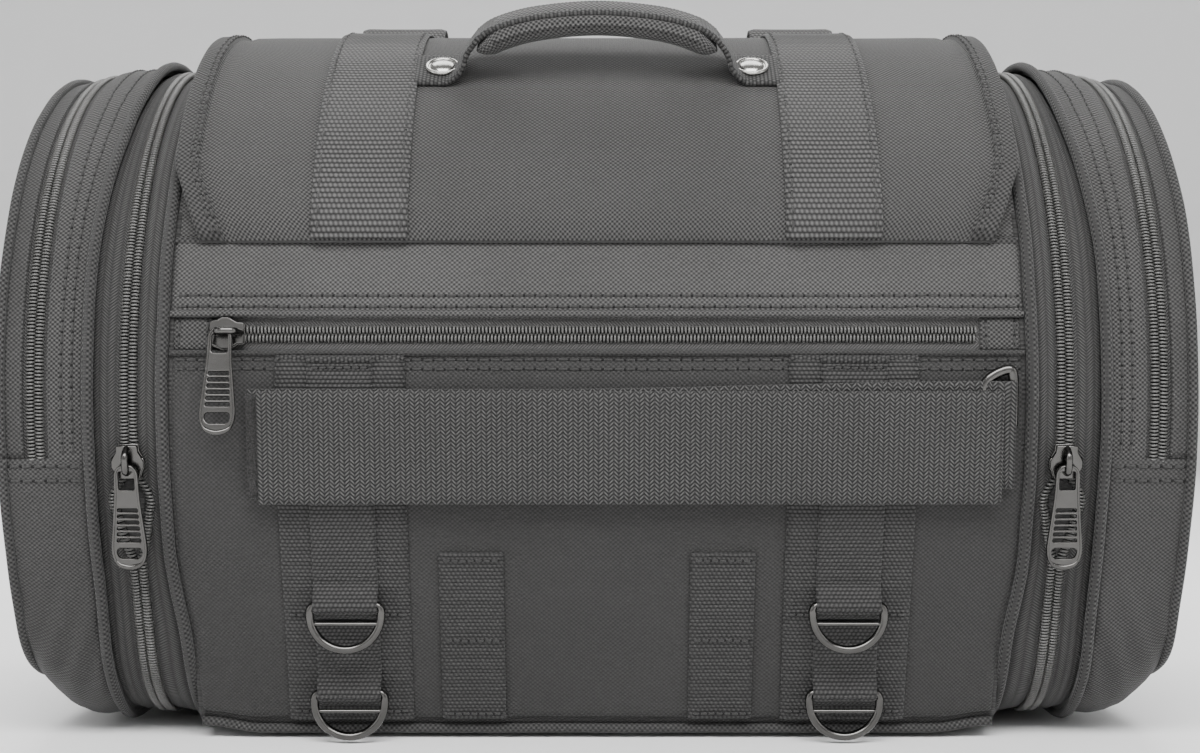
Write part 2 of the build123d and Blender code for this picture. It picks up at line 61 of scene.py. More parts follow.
# ---------------------------------------------------------------- sizes taken from the design
RADIUS = 142.5
CENTRE_Z = 142.5
LEAN = math.radians(20)
BODY_CORNER = 18.0
POCKET_CORNER = 60.0
BODY_HALF = 164.8
FLAP_RADIUS = 144.5
FLAP_CENTRE_Z = 154.5
FLAP_HALF = 167.0
FLAP_Z = (201.0, 203.0)
RECESS_Z = (157.0, 170.0)
RIM_Z = 200.0
HEM_Z = 115.0
WEB_X = 99.0
STRAP_X = 92.5
STRAP_WIDTH = 37.5
NARROW = 25.4
TAB_X = 49.5
RING_ZIP_X = 181.0
POCKET_ZIP_X = 217.0
TOOTH_PITCH = 1.4
STITCH_PITCH = 4.3
COIL_RADIUS = 0.46
CLOTH_BACK = -3.0  # height of the back of the roll's cloth
RING_TAPE_DEPTH = -2.6
RING_OPENING = (40, 5)  # how far below the ring slider its chain stands open
OPENING_WIDTH = 5.6
BASE_DRAW_IN = 4.4  # how far the roll's ends lean in at the base
BASE_END_LIFT = 3.5
CAP_X = 242.0
CAP_SPHERE = 846.0
RING_BARS = {"upper": 57.0, "lower": 20.5}
RING_WIDTH = 31.6
RING_DROP = 21.0
RING_WIRE = 3.4
PULL_STRETCH = 1.07
PULL_TOP = 1.4
PULL_CLEAR = 2.5  # degrees that the front pull hangs off the panel

# ---------------------------------------------------------------- camera, light and floor
CAMERA_AT = (0.0012, -0.8925, 0.147)
CAMERA_LENS = 58.4
FLOOR_RADIUS = 2.8
FLOOR_CURVE = 0.8  # radius of the bend between floor and wall
WALL_TOP = 2.2
FLOOR_GREY = 0.93
WORLD_LIGHT = 0.43
LIGHTS = (  # name, place, aimed at, size, power
    ("key_box", (0.0, -1.35, 1.45), (0, 0, 0.2), (1.9, 0.9), 62),
    ("crest_box", (0.0, 0.55, 1.5), (0, 0.0, 0.25), (1.6, 0.7), 20),
    ("front_box", (0.0, -2.6, 0.9), (0, 0, 0.15), (2.2, 0.9), 4),
    ("left_box", (-1.7, -1.0, 0.7), (0, 0, 0.15), (0.6, 1.2), 6),
    ("right_box", (1.7, -1.0, 0.7), (0, 0, 0.15), (0.6, 1.2), 6),
    ("back_box", (0.0, 1.8, 0.9), (0, 0, 0.15), (1.8, 0.8), 14),
)


def aim(obj, target):
    """Turn an object's -Z towards a point."""
    obj.rotation_mode = "QUATERNION"
    obj.rotation_quaternion = (Vector(target) - obj.location).to_track_quat("-Z", "Y")


def make_camera():
    data = bpy.data.cameras.new("camera")
    data.lens = CAMERA_LENS
    data.sensor_width = 36
    camera = bpy.data.objects.new("camera", data)
    camera.location = CAMERA_AT
    bpy.context.scene.collection.objects.link(camera)
    aim(camera, (CAMERA_AT[0], 0, CAMERA_AT[2]))
    bpy.context.scene.camera = camera


def make_lights():
    """Soft boxes round the bag and an even light from everywhere."""
    for name, place, target, size, power in LIGHTS:
        data = bpy.data.lights.new(name, "AREA")
        data.shape = "RECTANGLE"
        data.size, data.size_y = size
        data.energy = power
        light = bpy.data.objects.new(name, data)
        light.location = place
        bpy.context.scene.collection.objects.link(light)
        aim(light, target)
    world = bpy.data.worlds.new("studio")
    world.use_nodes = True
    background = world.node_tree.nodes["Background"]
    background.inputs[0].default_value = (1, 1, 1, 1)
    background.inputs[1].default_value = WORLD_LIGHT
    bpy.context.scene.world = world


def make_floor():
    """Pale round floor that curves up into a wall all round."""
    around = 96
    bends = [
        (FLOOR_RADIUS + FLOOR_CURVE * math.sin(a), FLOOR_CURVE - FLOOR_CURVE * math.cos(a))
        for a in (0.0, 0.3, 0.6, 0.9, 1.2, math.pi / 2)
    ]
    bends.append((FLOOR_RADIUS + FLOOR_CURVE, WALL_TOP))
    verts, faces = [(0, 0, 0)], []
    for r, z in bends:
        for i in range(around):
            a = 2 * math.pi * i / around
            verts.append((r * math.cos(a), r * math.sin(a), z))
    for i in range(around):
        j = (i + 1) % around
        faces.append((0, 1 + i, 1 + j))
        for k in range(len(bends) - 1):
            low, high = 1 + k * around, 1 + (k + 1) * around
            faces.append((low + i, high + i, high + j, low + j))
    mesh = bpy.data.meshes.new("floor")
    mesh.from_pydata(verts, [], faces)
    for p in mesh.polygons:
        p.use_smooth = True
    floor = bpy.data.objects.new("floor", mesh)
    bpy.context.scene.collection.objects.link(floor)
    mat = bpy.data.materials.new("floor_paint")
    mat.use_nodes = True
    shader = mat.node_tree.nodes["Principled BSDF"]
    shader.inputs["Base Color"].default_value = (FLOOR_GREY, FLOOR_GREY, FLOOR_GREY, 1)
    shader.inputs["Roughness"].default_value = 0.9
    mesh.materials.append(mat)


# ---------------------------------------------------------------- materials
GREY = (0.042, 0.0412, 0.0405)
materials = {}


class Nodes:
    """A new material, and short calls for building its node tree."""

    def __init__(self, name):
        materials[name] = bpy.data.materials.new(name)
        materials[name].use_nodes = True
        self.tree = materials[name].node_tree
        self.shader = self.tree.nodes["Principled BSDF"]

    def new(self, kind, **settings):
        node = self.tree.nodes.new(kind)
        for key, value in settings.items():
            setattr(node, key, value)
        return node

    def link(self, out, socket):
        self.tree.links.new(out, socket)

    def math(self, operation, a, b=None):
        node = self.new("ShaderNodeMath", operation=operation)
        for i, value in enumerate((a, b)):
            if value is None:
                continue
            if isinstance(value, (int, float)):
                node.inputs[i].default_value = value
            else:
                self.link(value, node.inputs[i])
        return node.outputs[0]

    def times(self, a, b):
        return self.math("MULTIPLY", a, b)

    def plus(self, a, b):
        return self.math("ADD", a, b)

    def sine(self, a):
        return self.math("SINE", a)

    @staticmethod
    def fill(node, **values):
        """Set a node's sockets. An underscore stands for a space in a socket's name."""
        for socket, value in values.items():
            node.inputs[socket.replace("_", " ")].default_value = value

    def cloth_axes(self):
        """The piece's own cloth directions, in millimetres."""
        uv = self.new("ShaderNodeUVMap", uv_map="cloth")
        split = self.new("ShaderNodeSeparateXYZ")
        self.link(uv.outputs[0], split.inputs[0])
        return split.outputs[0], split.outputs[1]

    def object_noise(self, scale, detail=3.0, rough=0.55):
        where = self.new("ShaderNodeTexCoord")
        grain = self.new("ShaderNodeTexNoise")
        self.link(where.outputs["Object"], grain.inputs["Vector"])
        self.fill(grain, Scale=scale, Detail=detail, Roughness=rough)
        return grain.outputs[0]

    def ramp(self, fac, stops):
        node = self.new("ShaderNodeValToRGB")
        while len(node.color_ramp.elements) < len(stops):
            node.color_ramp.elements.new(0.5)
        for element, (place, colour) in zip(node.color_ramp.elements, stops):
            element.position = place
            element.color = (*colour, 1)
        self.link(fac, node.inputs[0])
        return node.outputs[0]

    def mix(self, kind, fac, a, b):
        node = self.new("ShaderNodeMix", data_type="RGBA", blend_type=kind)
        for i, value in ((0, fac), (6, a), (7, b)):
            if isinstance(value, (int, float)):
                node.inputs[i].default_value = value
            elif isinstance(value, tuple):
                node.inputs[i].default_value = (*value, 1)
            else:
                self.link(value, node.inputs[i])
        return node.outputs[2]

    def bump(self, height, distance, strength):
        node = self.new("ShaderNodeBump")
        self.fill(node, Strength=strength, Distance=distance)
        self.link(height, node.inputs["Height"])
        self.link(node.outputs[0], self.shader.inputs["Normal"])


def shade(colour, factor):
    return tuple(min(1.0, c * factor) for c in colour)


def weave_height(n, weave, pitch):
    """Height of the cloth's surface from 0 to 1 for one weave."""
    u, v = n.cloth_axes()
    a, b = pitch
    if weave == "plain":
        su = n.sine(n.times(u, math.pi / a))
        sv = n.sine(n.times(v, math.pi / b))
        both = n.times(su, sv)
        return n.plus(n.times(both, 0.5), 0.5)
    if weave == "ribbed":
        row = n.math("DIVIDE", v, b)
        step = n.times(n.math("FLOOR", row), 0.5)
        turn = n.plus(step, n.times(n.math("FRACT", row), 0.15))
        phase = n.plus(n.math("DIVIDE", u, a), turn)
        stroke = n.sine(n.times(phase, 2 * math.pi))
        rise = n.math("ABSOLUTE", n.sine(n.times(row, math.pi)))
        threads_up = n.plus(n.times(stroke, 0.3), 0.7)
        return n.times(threads_up, n.plus(n.times(rise, 0.9), 0.1))
    if weave in ("chevron", "lengthwise"):
        across, along = (u, v) if weave == "chevron" else (v, u)
        fold = n.math("PINGPONG", across, a)
        slant = n.plus(along, n.times(fold, 0.95))
        wave = n.sine(n.times(slant, 2 * math.pi / b))
        column = n.math("ABSOLUTE", n.sine(n.times(across, math.pi / a)))
        line = n.plus(n.times(wave, 0.5), 0.5)
        return n.times(line, n.plus(n.times(column, 0.65), 0.35))
    cells = n.new("ShaderNodeTexVoronoi")
    uv = n.new("ShaderNodeUVMap", uv_map="cloth")
    n.link(uv.outputs[0], cells.inputs["Vector"])
    n.fill(cells, Scale=1 / a)
    return n.math("SUBTRACT", 1.0, cells.outputs["Distance"])


def greys(low, dark, high, light):
    """Two stops of a ramp that darkens and lightens a colour."""
    return [(low, (dark, dark, dark)), (high, (light, light, light))]


def cloth(name, share, weave, pitch, depth, thread_shading, rough=0.88):
    """Woven cloth: thread relief, painted shade in the gaps between the threads and painted highlight on their tops,
    faint cloudy wear.
    """
    colour = shade(GREY, share)
    n = Nodes(name)
    height = weave_height(n, weave, pitch)
    fuzz = n.object_noise(1400, 2.0)
    cloud = n.object_noise(14, 4.0)
    # Low places of the weave get painted shade and high places a painted highlight.
    dark, light = shade(colour, 1 - 0.92 * thread_shading), shade(colour, 1 + thread_shading)
    stops = [(0.08, dark), (0.5, colour), (0.92, light)]
    base = n.ramp(height, stops)
    speck = n.mix("MULTIPLY", 0.35, base, n.ramp(fuzz, greys(0.3, 0.6, 0.7, 1.3)))
    patches = n.ramp(cloud, [(0.35, (0.82, 0.82, 0.82)), (0.65, (1.16, 1.16, 1.17))])
    worn = n.mix("MULTIPLY", 0.5, speck, patches)
    n.link(worn, n.shader.inputs["Base Color"])
    n.link(n.plus(n.times(cloud, 0.12), rough - 0.06), n.shader.inputs["Roughness"])
    n.fill(n.shader, Sheen_Weight=0.08, Sheen_Roughness=0.4, Specular_IOR_Level=0.35)
    n.bump(n.plus(height, n.times(fuzz, 0.5)), depth * MM, 0.8)


def hard(name, colour, rough, metallic, bump):
    """Plated or moulded surface with fine grain and slightly uneven gloss."""
    n = Nodes(name)
    grain = n.object_noise(900, 4.0, 0.7)
    cloud = n.object_noise(90, 3.0)
    worn = n.mix("MULTIPLY", 0.4, colour, n.ramp(cloud, greys(0.3, 0.75, 0.7, 1.2)))
    n.link(worn, n.shader.inputs["Base Color"])
    n.fill(n.shader, Metallic=metallic)
    n.link(n.plus(n.times(grain, 0.18), rough - 0.09), n.shader.inputs["Roughness"])
    n.bump(grain, bump * MM, 0.5)


def make_materials():
    # name, share of GREY, weave, its pitch both ways in mm, relief in mm, strength of the painted thread shade and
    # highlight, roughness
    for row in (
        ("nylon", 0.97, "plain", (0.98, 0.9), 0.45, 0.95),
        # front, rear, base and side panels: the nylon made darker with weaker thread shading, as painted shade
        ("panel_nylon", 0.66, "plain", (0.98, 0.9), 0.35, 0.5),
        # end pockets: the nylon made darker, as painted shade
        ("pocket_nylon", 0.82, "plain", (0.98, 0.9), 0.4, 0.72),
        # front facing: the nylon made lighter, as painted light
        ("facing_nylon", 1.25, "plain", (0.98, 0.9), 0.45, 0.8),
        ("binding", 0.74, "plain", (1.15, 1.05), 0.4, 0.95),
        ("webbing", 0.64, "ribbed", (1.8, 1.6), 0.6, 1.0, 0.8),
        # flap straps and loops: the webbing made lighter, as painted light
        ("flap_webbing", 1.1, "ribbed", (1.9, 2.3), 0.6, 1.0, 0.8),
        ("strap_weave", 0.98, "lengthwise", (1.95, 1.6), 0.5, 0.98, 0.8),
        ("zip_tape", 0.88, "chevron", (3.0, 1.3), 0.3, 0.65),
        # front zip tape: made much lighter, as painted light in its shaded recess
        ("front_zip_tape", 1.6, "lengthwise", (3.0, 1.3), 0.3, 0.4),
        ("grip_mesh", 1.2, "plain", (1.2, 1.05), 0.7, 1.0),
        ("loop_pile", 0.6, "cells", (0.7, 0.7), 0.6, 0.6),
        ("thread", 1.1, "chevron", (0.5, 0.5), 0.1, 0.3),
        # needle holes and the strips under zip coils: a near-black colour that is painted shade
        ("painted_shade", 0.1, "plain", (0.5, 0.5), 0.05, 0.2),
    ):
        cloth(*row)
    # name, colour, roughness, metallic, relief in mm
    for row in (
        ("zip_coil", (0.082, 0.081, 0.078), 0.3, 0.0, 0.03),
        ("gunmetal", (0.09, 0.088, 0.085), 0.2, 1.0, 0.04),
        ("rivet", (0.34, 0.335, 0.32), 0.22, 1.0, 0.02),
        ("buckle_plastic", (0.02, 0.02, 0.02), 0.42, 0.0, 0.06),
        ("board", (0.03, 0.03, 0.03), 0.6, 0.0, 0.06),
    ):
        hard(*row)


# ---------------------------------------------------------------- the roll's section
class Section:
    """Points and outward normals round a section, from mid-base up the front and over the top."""

    def __init__(self, points, closed=True):
        self.points = points
        self.closed = closed
        self.runs = [0.0]
        for (y0, z0, _, _), (y1, z1, _, _) in zip(points, points[1:]):
            self.runs.append(self.runs[-1] + math.hypot(y1 - y0, z1 - z0))
        self.length = self.runs[-1]

    def at(self, s):
        """Point and normal at a run along the section."""
        s = s % self.length if self.closed else min(max(s, 0.0), self.length)
        high = min(max(bisect.bisect_left(self.runs, s), 1), len(self.runs) - 1)
        low = high - 1
        span = self.runs[high] - self.runs[low]
        t = (s - self.runs[low]) / span if span > 0 else 0.0
        a, b = self.points[low], self.points[high]
        y, z, ny, nz = (a[k] + (b[k] - a[k]) * t for k in range(4))
        size = math.hypot(ny, nz)
        return y, z, ny / size, nz / size

    def run_at(self, z, back=False):
        """Run where the section passes a height, on the front or on the back."""
        pairs = range(len(self.points) - 1)
        for i in reversed(pairs) if back else pairs:
            z0, z1 = self.points[i][1], self.points[i + 1][1]
            if min(z0, z1) <= z <= max(z0, z1) and abs(z1 - z0) > 1e-9:
                return self.runs[i] + (self.runs[i + 1] - self.runs[i]) * (z - z0) / (z1 - z0)
        raise ValueError(f"the section doesn't reach {z}")


def roll_section(corner, radius=RADIUS):
    """The bag's section: base, corner, leaning side, arc over the top, and back down."""
    shoulder = (radius * math.cos(LEAN), CENTRE_Z - radius * math.sin(LEAN))
    corner_y = shoulder[0] - (corner + (shoulder[1] - corner) * math.sin(LEAN)) / math.cos(LEAN)
    half = [(0.0, 0.0, 0.0, -1.0), (-corner_y / 2, 0.0, 0.0, -1.0), (-corner_y, 0.0, 0.0, -1.0)]
    for i in range(1, 13):
        a = -math.pi / 2 - (math.pi / 2 - LEAN) * i / 12
        c, d = math.cos(a), math.sin(a)
        half.append((-corner_y + corner * c, corner + corner * d, c, d))
    last_y, last_z = half[-1][:2]
    for i in range(1, 9):
        t = i / 8
        y, z = last_y + (-shoulder[0] - last_y) * t, last_z + (shoulder[1] - last_z) * t
        half.append((y, z, -math.cos(LEAN), -math.sin(LEAN)))
    for i in range(1, 81):
        a = math.pi + LEAN - (math.pi / 2 + LEAN) * i / 80
        c, d = math.cos(a), math.sin(a)
        half.append((radius * c, CENTRE_Z + radius * d, c, d))
    other = [(-y, z, -ny, nz) for y, z, ny, nz in reversed(half[:-1])]
    return Section(half + other)


def flap_section():
    """The flap's arc from its front seam over to its back edge."""
    start = math.pi - math.asin((FLAP_Z[0] - FLAP_CENTRE_Z) / FLAP_RADIUS)
    end = math.asin((FLAP_Z[1] - FLAP_CENTRE_Z) / FLAP_RADIUS)
    points = []
    for i in range(121):
        a = start + (end - start) * i / 120
        c, d = math.cos(a), math.sin(a)
        points.append((FLAP_RADIUS * c, FLAP_CENTRE_Z + FLAP_RADIUS * d, c, d))
    return Section(points, closed=False)


class Skin:
    """A section run out along the roll, which pieces lie on. A place is (x, run, height above it)."""

    def __init__(self, section, warp=None):
        self.section = section
        self.warp = warp

    def point(self, x, s, h=0.0):
        y, z, ny, nz = self.section.at(s)
        p = Vector((x, y + ny * h, z + nz * h))
        return self.warp(p) if self.warp else p


LIFT = (
    (163.0, 0.0), (166.0, 3.4), (172.0, 3.8), (182.0, 4.4), (196.0, 5.6),
    (206.0, 4.8), (212.0, 5.2), (218.0, 8.0), (224.0, 13.5), (230.0, 23.0), (245.0, 40.0),
)
LIFT_REACH = 95.0


def ease(t):
    """Smooth step from 0 to 1."""
    t = min(max(t, 0.0), 1.0)
    return t * t * (3 - 2 * t)


def lift_at(x):
    """How far the bottom of an end pocket is rounded up at a distance from the middle."""
    x = abs(x)
    for (x0, l0), (x1, l1) in zip(LIFT, LIFT[1:]):
        if x0 <= x <= x1:
            return l0 + (l1 - l0) * (x - x0) / (x1 - x0)
    return 0.0 if x < LIFT[0][0] else LIFT[-1][1]


def draw_in(z):
    """How far the body's ends lean in towards the base."""
    return BASE_DRAW_IN * ease((80 - z) / 48)


def pocket_warp(p):
    """Round the bottom edge up, let the end's top droop, and draw the middle seam in over the top."""
    x, z = p.x, p.z
    if z < LIFT_REACH:
        share = 1 - z / LIFT_REACH
        z += lift_at(x) * share * share
    x -= math.copysign(draw_in(p.z) * (1 - ease((abs(x) - 168) / 13)), x)
    top = ease((p.z - 190) / 95)
    x -= math.copysign(7.0 * top * math.exp(-(((abs(x) - 197) / 9) ** 2)), x)
    z -= 6.5 * ease((abs(p.x) - 204) / 28) * max(0.0, (p.z - 215) / 70)
    return Vector((x, p.y, z))


def body_warp(p):
    """Draw the ends of the base in and up, so that its corners are round."""
    reach = ease((abs(p.x) - 118) / 46)
    lift = BASE_END_LIFT * ease((abs(p.x) - 138) / 26) * max(0.0, 1 - p.z / 30)
    return Vector((p.x - math.copysign(draw_in(p.z) * reach, p.x), p.y, p.z + lift))


BODY = Skin(roll_section(BODY_CORNER), body_warp)
POCKET = Skin(roll_section(POCKET_CORNER), pocket_warp)
FLAP = Skin(flap_section())


# ---------------------------------------------------------------- meshes
# The coil's own finish, and a dark one for the painted shadow strip under its teeth.
COIL = ("zip_coil", "painted_shade")


def smooth_noise(p, scale, seed=0.0):
    return noise.noise(Vector((p[0] / scale + seed, p[1] / scale, p[2] / scale)))


def stations(a, b, step, edge=0.0, least=1):
    """Values from a to b about a step apart, with two more close to each end if edge is given."""
    count = max(least, round(abs(b - a) / step))
    values = [a + (b - a) * i / count for i in range(count + 1)]
    if edge:
        values = [a, a + edge * 0.35, a + edge] + values[1:-1] + [b - edge, b - edge * 0.35, b]
    return values


def mirrored(side, a, b, step, edge=0.0):
    """Stations between two distances from the middle, on one side of it."""
    return sorted(side * x for x in stations(a, b, step, edge))


class Mesh:
    """Vertices, faces and cloth coordinates that are added up and made into one piece."""

    def __init__(self):
        self.verts, self.faces, self.uvs, self.index = [], [], [], []

    def add(self, verts, faces, uvs, material=0):
        start = len(self.verts)
        self.verts += verts
        self.uvs += uvs
        self.faces += [tuple(start + i for i in face) for face in faces]
        self.index += [material] * len(faces)

    def make(self, name, material, replaced=(), body="root", slot=None):
        """Object in metres that rides on a body, unless it is None, and stands for CAD nodes."""
        mesh = bpy.data.meshes.new(name)
        mesh.from_pydata([tuple(c * MM for c in v) for v in self.verts], [], self.faces)
        layer = mesh.uv_layers.new(name="cloth")
        for one in [material] if isinstance(material, str) else material:
            mesh.materials.append(materials[one])
        for poly, index in zip(mesh.polygons, self.index):
            poly.use_smooth = True
            poly.material_index = index
            for loop in poly.loop_indices:
                layer.data[loop].uv = self.uvs[mesh.loops[loop].vertex_index]
        mesh.validate()
        obj = bpy.data.objects.new(name, mesh)
        bpy.context.scene.collection.objects.link(obj)
        if body:
            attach(obj, body)
        if replaced:
            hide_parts(*replaced)
        return obj


def loft_faces(rows, n, closed=False):
    """Faces of a tube of rows with n points each, capped at both ends or joined up with itself."""
    faces = []
    for i in range(rows if closed else rows - 1):
        for k in range(n):
            a, b = i * n + k, i * n + (k + 1) % n
            c, d = (i + 1) % rows * n + (k + 1) % n, (i + 1) % rows * n + k
            faces.append((a, b, c, d))
    if not closed:
        faces.append(tuple(range(n - 1, -1, -1)))
        faces.append(tuple((rows - 1) * n + k for k in range(n)))
    return faces


def grid_shell(rows, columns, top, bottom, uv):
    """Closed sheet from two grids of points, with walls along its border."""
    verts, uvs, faces = [], [], []
    for grid in (top, bottom):
        for i in range(rows):
            for j in range(columns):
                verts.append(grid(i, j))
                uvs.append(uv(i, j))
    half = rows * columns

    def at(i, j):
        return i * columns + j

    for i in range(rows - 1):
        for j in range(columns - 1):
            a, b, c, d = at(i, j), at(i, j + 1), at(i + 1, j + 1), at(i + 1, j)
            faces.append((a, b, c, d))
            faces.append((half + d, half + c, half + b, half + a))
    for j in range(columns - 1):
        a, b = at(0, j), at(0, j + 1)
        faces.append((half + a, half + b, b, a))
        a, b = at(rows - 1, j), at(rows - 1, j + 1)
        faces.append((a, b, half + b, half + a))
    for i in range(rows - 1):
        a, b = at(i, 0), at(i + 1, 0)
        faces.append((a, b, half + b, half + a))
        a, b = at(i, columns - 1), at(i + 1, columns - 1)
        faces.append((half + a, half + b, b, a))
    return verts, faces, uvs


def cover(mesh, skin, xs, ss, top, bottom, edge=0.0, drop=0.0, shift=None):
    """Closed sheet on a skin. top and bottom are heights or functions of (x, run).

    Its edges roll down by drop, and shift moves its points about on the skin.
    """
    x0, x1, s0, s1 = xs[0], xs[-1], ss[0], ss[-1]

    def rolled(x, s):
        h = top(x, s) if callable(top) else top
        if edge:
            for gap in (x - x0, x1 - x, s - s0, s1 - s):
                if gap < edge:
                    t = 1 - gap / edge
                    h -= drop * t * t
        return h

    def low(x, s):
        return bottom(x, s) if callable(bottom) else bottom

    def place(i, j, height):
        x, s = xs[j], ss[i]
        if shift:
            x, s = shift(x, s)
        return skin.point(x, s, height(xs[j], ss[i]))

    mesh.add(*grid_shell(
        len(ss), len(xs),
        lambda i, j: place(i, j, rolled), lambda i, j: place(i, j, low), lambda i, j: (xs[j], ss[i]),
    ))


def tube(mesh, path, radius, sides=10, closed=False, start=(0, 0, 1), taper=None, flat=1.0):
    """Round cord along a path of points, its section squeezed by flat along the first direction."""
    verts, uvs = [], []
    count = len(path)
    up = Vector(start)
    run = 0.0
    for i, p in enumerate(path):
        before = path[i - 1] if i or closed else p
        after = path[(i + 1) % count] if i < count - 1 or closed else p
        along = (after - before).normalized()
        up = (up - along * up.dot(along)).normalized()
        side = along.cross(up)
        if i:
            run += (p - path[i - 1]).length
        r = radius * (taper(i / (count - 1)) if taper else 1.0)
        for k in range(sides):
            a = 2 * math.pi * k / sides
            verts.append(p + up * (r * flat * math.cos(a)) + side * (r * math.sin(a)))
            uvs.append((radius * a, run))
    mesh.add(verts, loft_faces(count, sides, closed), uvs)


def piping(mesh, skin, x, h, radius, s0=None, s1=None):
    """Corded edge with small uneven swells. Without limits it goes all the way round."""
    closed = s0 is None
    runs = stations(0.0, skin.section.length, 2.5)[:-1] if closed else stations(s0, s1, 2.5)
    path = [skin.point(x, s, h) for s in runs]
    path = [p + Vector((0.35 * smooth_noise(p, 26, x), 0, 0)) for p in path]
    tube(mesh, path, radius, 10, closed, (0, 0, -1) if closed else (1, 0, 0))


# Stitches are gathered for each body and made into one piece at the end.
threads = {}


def stitch_line(body, skin, line, h, pitch=STITCH_PITCH, width=0.46):
    """Row of stitches along a line of (x, run) corners on a skin, with a dark disc of painted shade for a needle
    hole at each end.
    """
    mesh = threads.setdefault(body, Mesh())
    for (x0, s0), (x1, s1) in zip(line, line[1:]):
        length = math.hypot(x1 - x0, s1 - s0)
        count = max(1, int(length / pitch))
        for i in range(count):
            t = (i + 0.5) / count
            x, s = x0 + (x1 - x0) * t, s0 + (s1 - s0) * t
            dx, ds = (x1 - x0) / length, (s1 - s0) / length
            wobble = random.uniform(-0.12, 0.12)
            x, s = x + ds * wobble, s - dx * wobble
            reach = pitch * 0.37
            height = h(x, s) if callable(h) else h
            path = []
            for k, lift in ((-1.0, -0.25), (-0.55, 0.18), (0.55, 0.18), (1.0, -0.25)):
                path.append(skin.point(x + dx * reach * k, s + ds * reach * k, height + lift))
            out = skin.point(x, s, height + 1) - skin.point(x, s, height)
            tube(mesh, path, width, 6, start=out)
            # Dark disc where the needle hole is: painted shade, not a real hole.
            hole = skin.point(x + dx * pitch / 2, s + ds * pitch / 2, height + 0.12)
            along = (path[-1] - path[0]).normalized()
            side = along.cross(out.normalized())
            turn = (0, 1.05, 2.09, 3.14, 4.19, 5.24)
            ring = [hole + along * (0.75 * math.cos(a)) + side * (0.6 * math.sin(a)) for a in turn]
            dot = ring + [p - out * 0.2 for p in ring]
            walls = [(k, k + 6, (k + 1) % 6 + 6, (k + 1) % 6) for k in range(6)]
            lids = [(0, 1, 2, 3, 4, 5), (11, 10, 9, 8, 7, 6)]
            mesh.add(dot, lids + walls, [(p.x, p.y) for p in dot], 1)


def make_stitches():
    for body, mesh in threads.items():
        mesh.make(f"{body}_stitching", ("thread", "painted_shade"), body=body, slot="binding")


def coil(mesh, place, length, spread=None):
    """Zip coil: two rows of bent teeth that meet in the middle, over dark strips of painted shadow. place(run,
    across, out) gives a point.
    """
    count = int(length / TOOTH_PITCH)
    tooth = ((3.0, 0.1, 0.0), (2.95, 1.2, 0.0), (2.0, 1.85, 0.0), (0.9, 1.6, 0.05), (0.1, 0.9, 0.1))
    for i in range(count):
        for side in (-1, 1):
            s = (i + (0.5 if side > 0 else 0.0)) * TOOTH_PITCH + 0.4
            away = spread(s) if spread else 0.0
            path = [place(s + along, side * (across + away), out) for across, out, along in tooth]
            tube(mesh, path, COIL_RADIUS, 6, start=place(s, 0, 1) - place(s, 0, 0))
    # A dark strip under each row of teeth: painted shadow.
    for side in (-1, 1):
        rows = [i * 4.0 for i in range(int(length / 4.0) + 1)]

        def shadow_strip(i, j, out):
            across = 3.0 * (j if side > 0 else 1 - j)
            return place(rows[i], side * (across + (spread(rows[i]) if spread else 0.0)), out)

        mesh.add(*grid_shell(
            len(rows), 2,
            lambda i, j: shadow_strip(i, j, 0.45), lambda i, j: shadow_strip(i, j, -0.1), lambda i, j: (j * 3.0, rows[i]),
        ), 1)


def along_path(points, step):
    """The same line with points a step apart."""
    runs = [0.0]
    for a, b in zip(points, points[1:]):
        runs.append(runs[-1] + (b - a).length)
    count = max(2, round(runs[-1] / step))
    out = []
    for i in range(count + 1):
        s = runs[-1] * i / count
        k = min(max(bisect.bisect_left(runs, s), 1), len(runs) - 1)
        span = runs[k] - runs[k - 1]
        out.append(points[k - 1].lerp(points[k], (s - runs[k - 1]) / span if span else 0.0))
    return out


def smooth_curve(points, steps=10):
    """Curve through a few points."""
    out = []
    for i in range(len(points) - 1):
        p0, p1 = points[max(i - 1, 0)], points[i]
        p2, p3 = points[i + 1], points[min(i + 2, len(points) - 1)]
        for k in range(steps):
            t = k / steps
            square = (2 * p0 - 5 * p1 + 4 * p2 - p3) * t**2
            cube = (3 * p1 - p0 - 3 * p2 + p3) * t**3
            out.append(0.5 * (2 * p1 + (p2 - p0) * t + square + cube))
    return [*out, points[-1].copy()]


def both_faces(columns):
    """Places round a flat strip's section: (share of its width, 1 on top or -1 beneath)."""
    return [(c, 1) for c in columns] + [(c, -1) for c in reversed(columns)]


def band(mesh, points, across, width, thick, rib=2.2, relief=0.14):
    """Webbing along a path, with rounded selvages and cross ribs. across is its width direction."""
    path = along_path(points, rib / 4)
    across = Vector(across)
    profile = both_faces((0.0, 0.06, 0.12, 0.3, 0.5, 0.7, 0.88, 0.94, 1.0))
    verts, uvs = [], []
    run = 0.0
    for i, p in enumerate(path):
        ahead = path[min(i + 1, len(path) - 1)] - path[max(i - 1, 0)]
        side = (across - ahead * (across.dot(ahead) / ahead.length_squared)).normalized()
        out = side.cross(ahead).normalized()
        if i:
            run += (p - path[i - 1]).length
        wave = relief * math.cos(2 * math.pi * run / rib)
        for c, face in profile:
            edge = min(c, 1 - c)
            half = thick / 2 * (1.0 if edge >= 0.06 else 0.45)
            swell = wave if 0.05 < edge else 0.0
            selvage = 0.12 if 0.05 < edge < 0.15 else 0.0
            verts.append(p + side * ((c - 0.5) * width) + out * (face * (half + selvage + swell * 0.5)))
            uvs.append((c * width, run))
    mesh.add(verts, loft_faces(len(path), len(profile)), uvs)


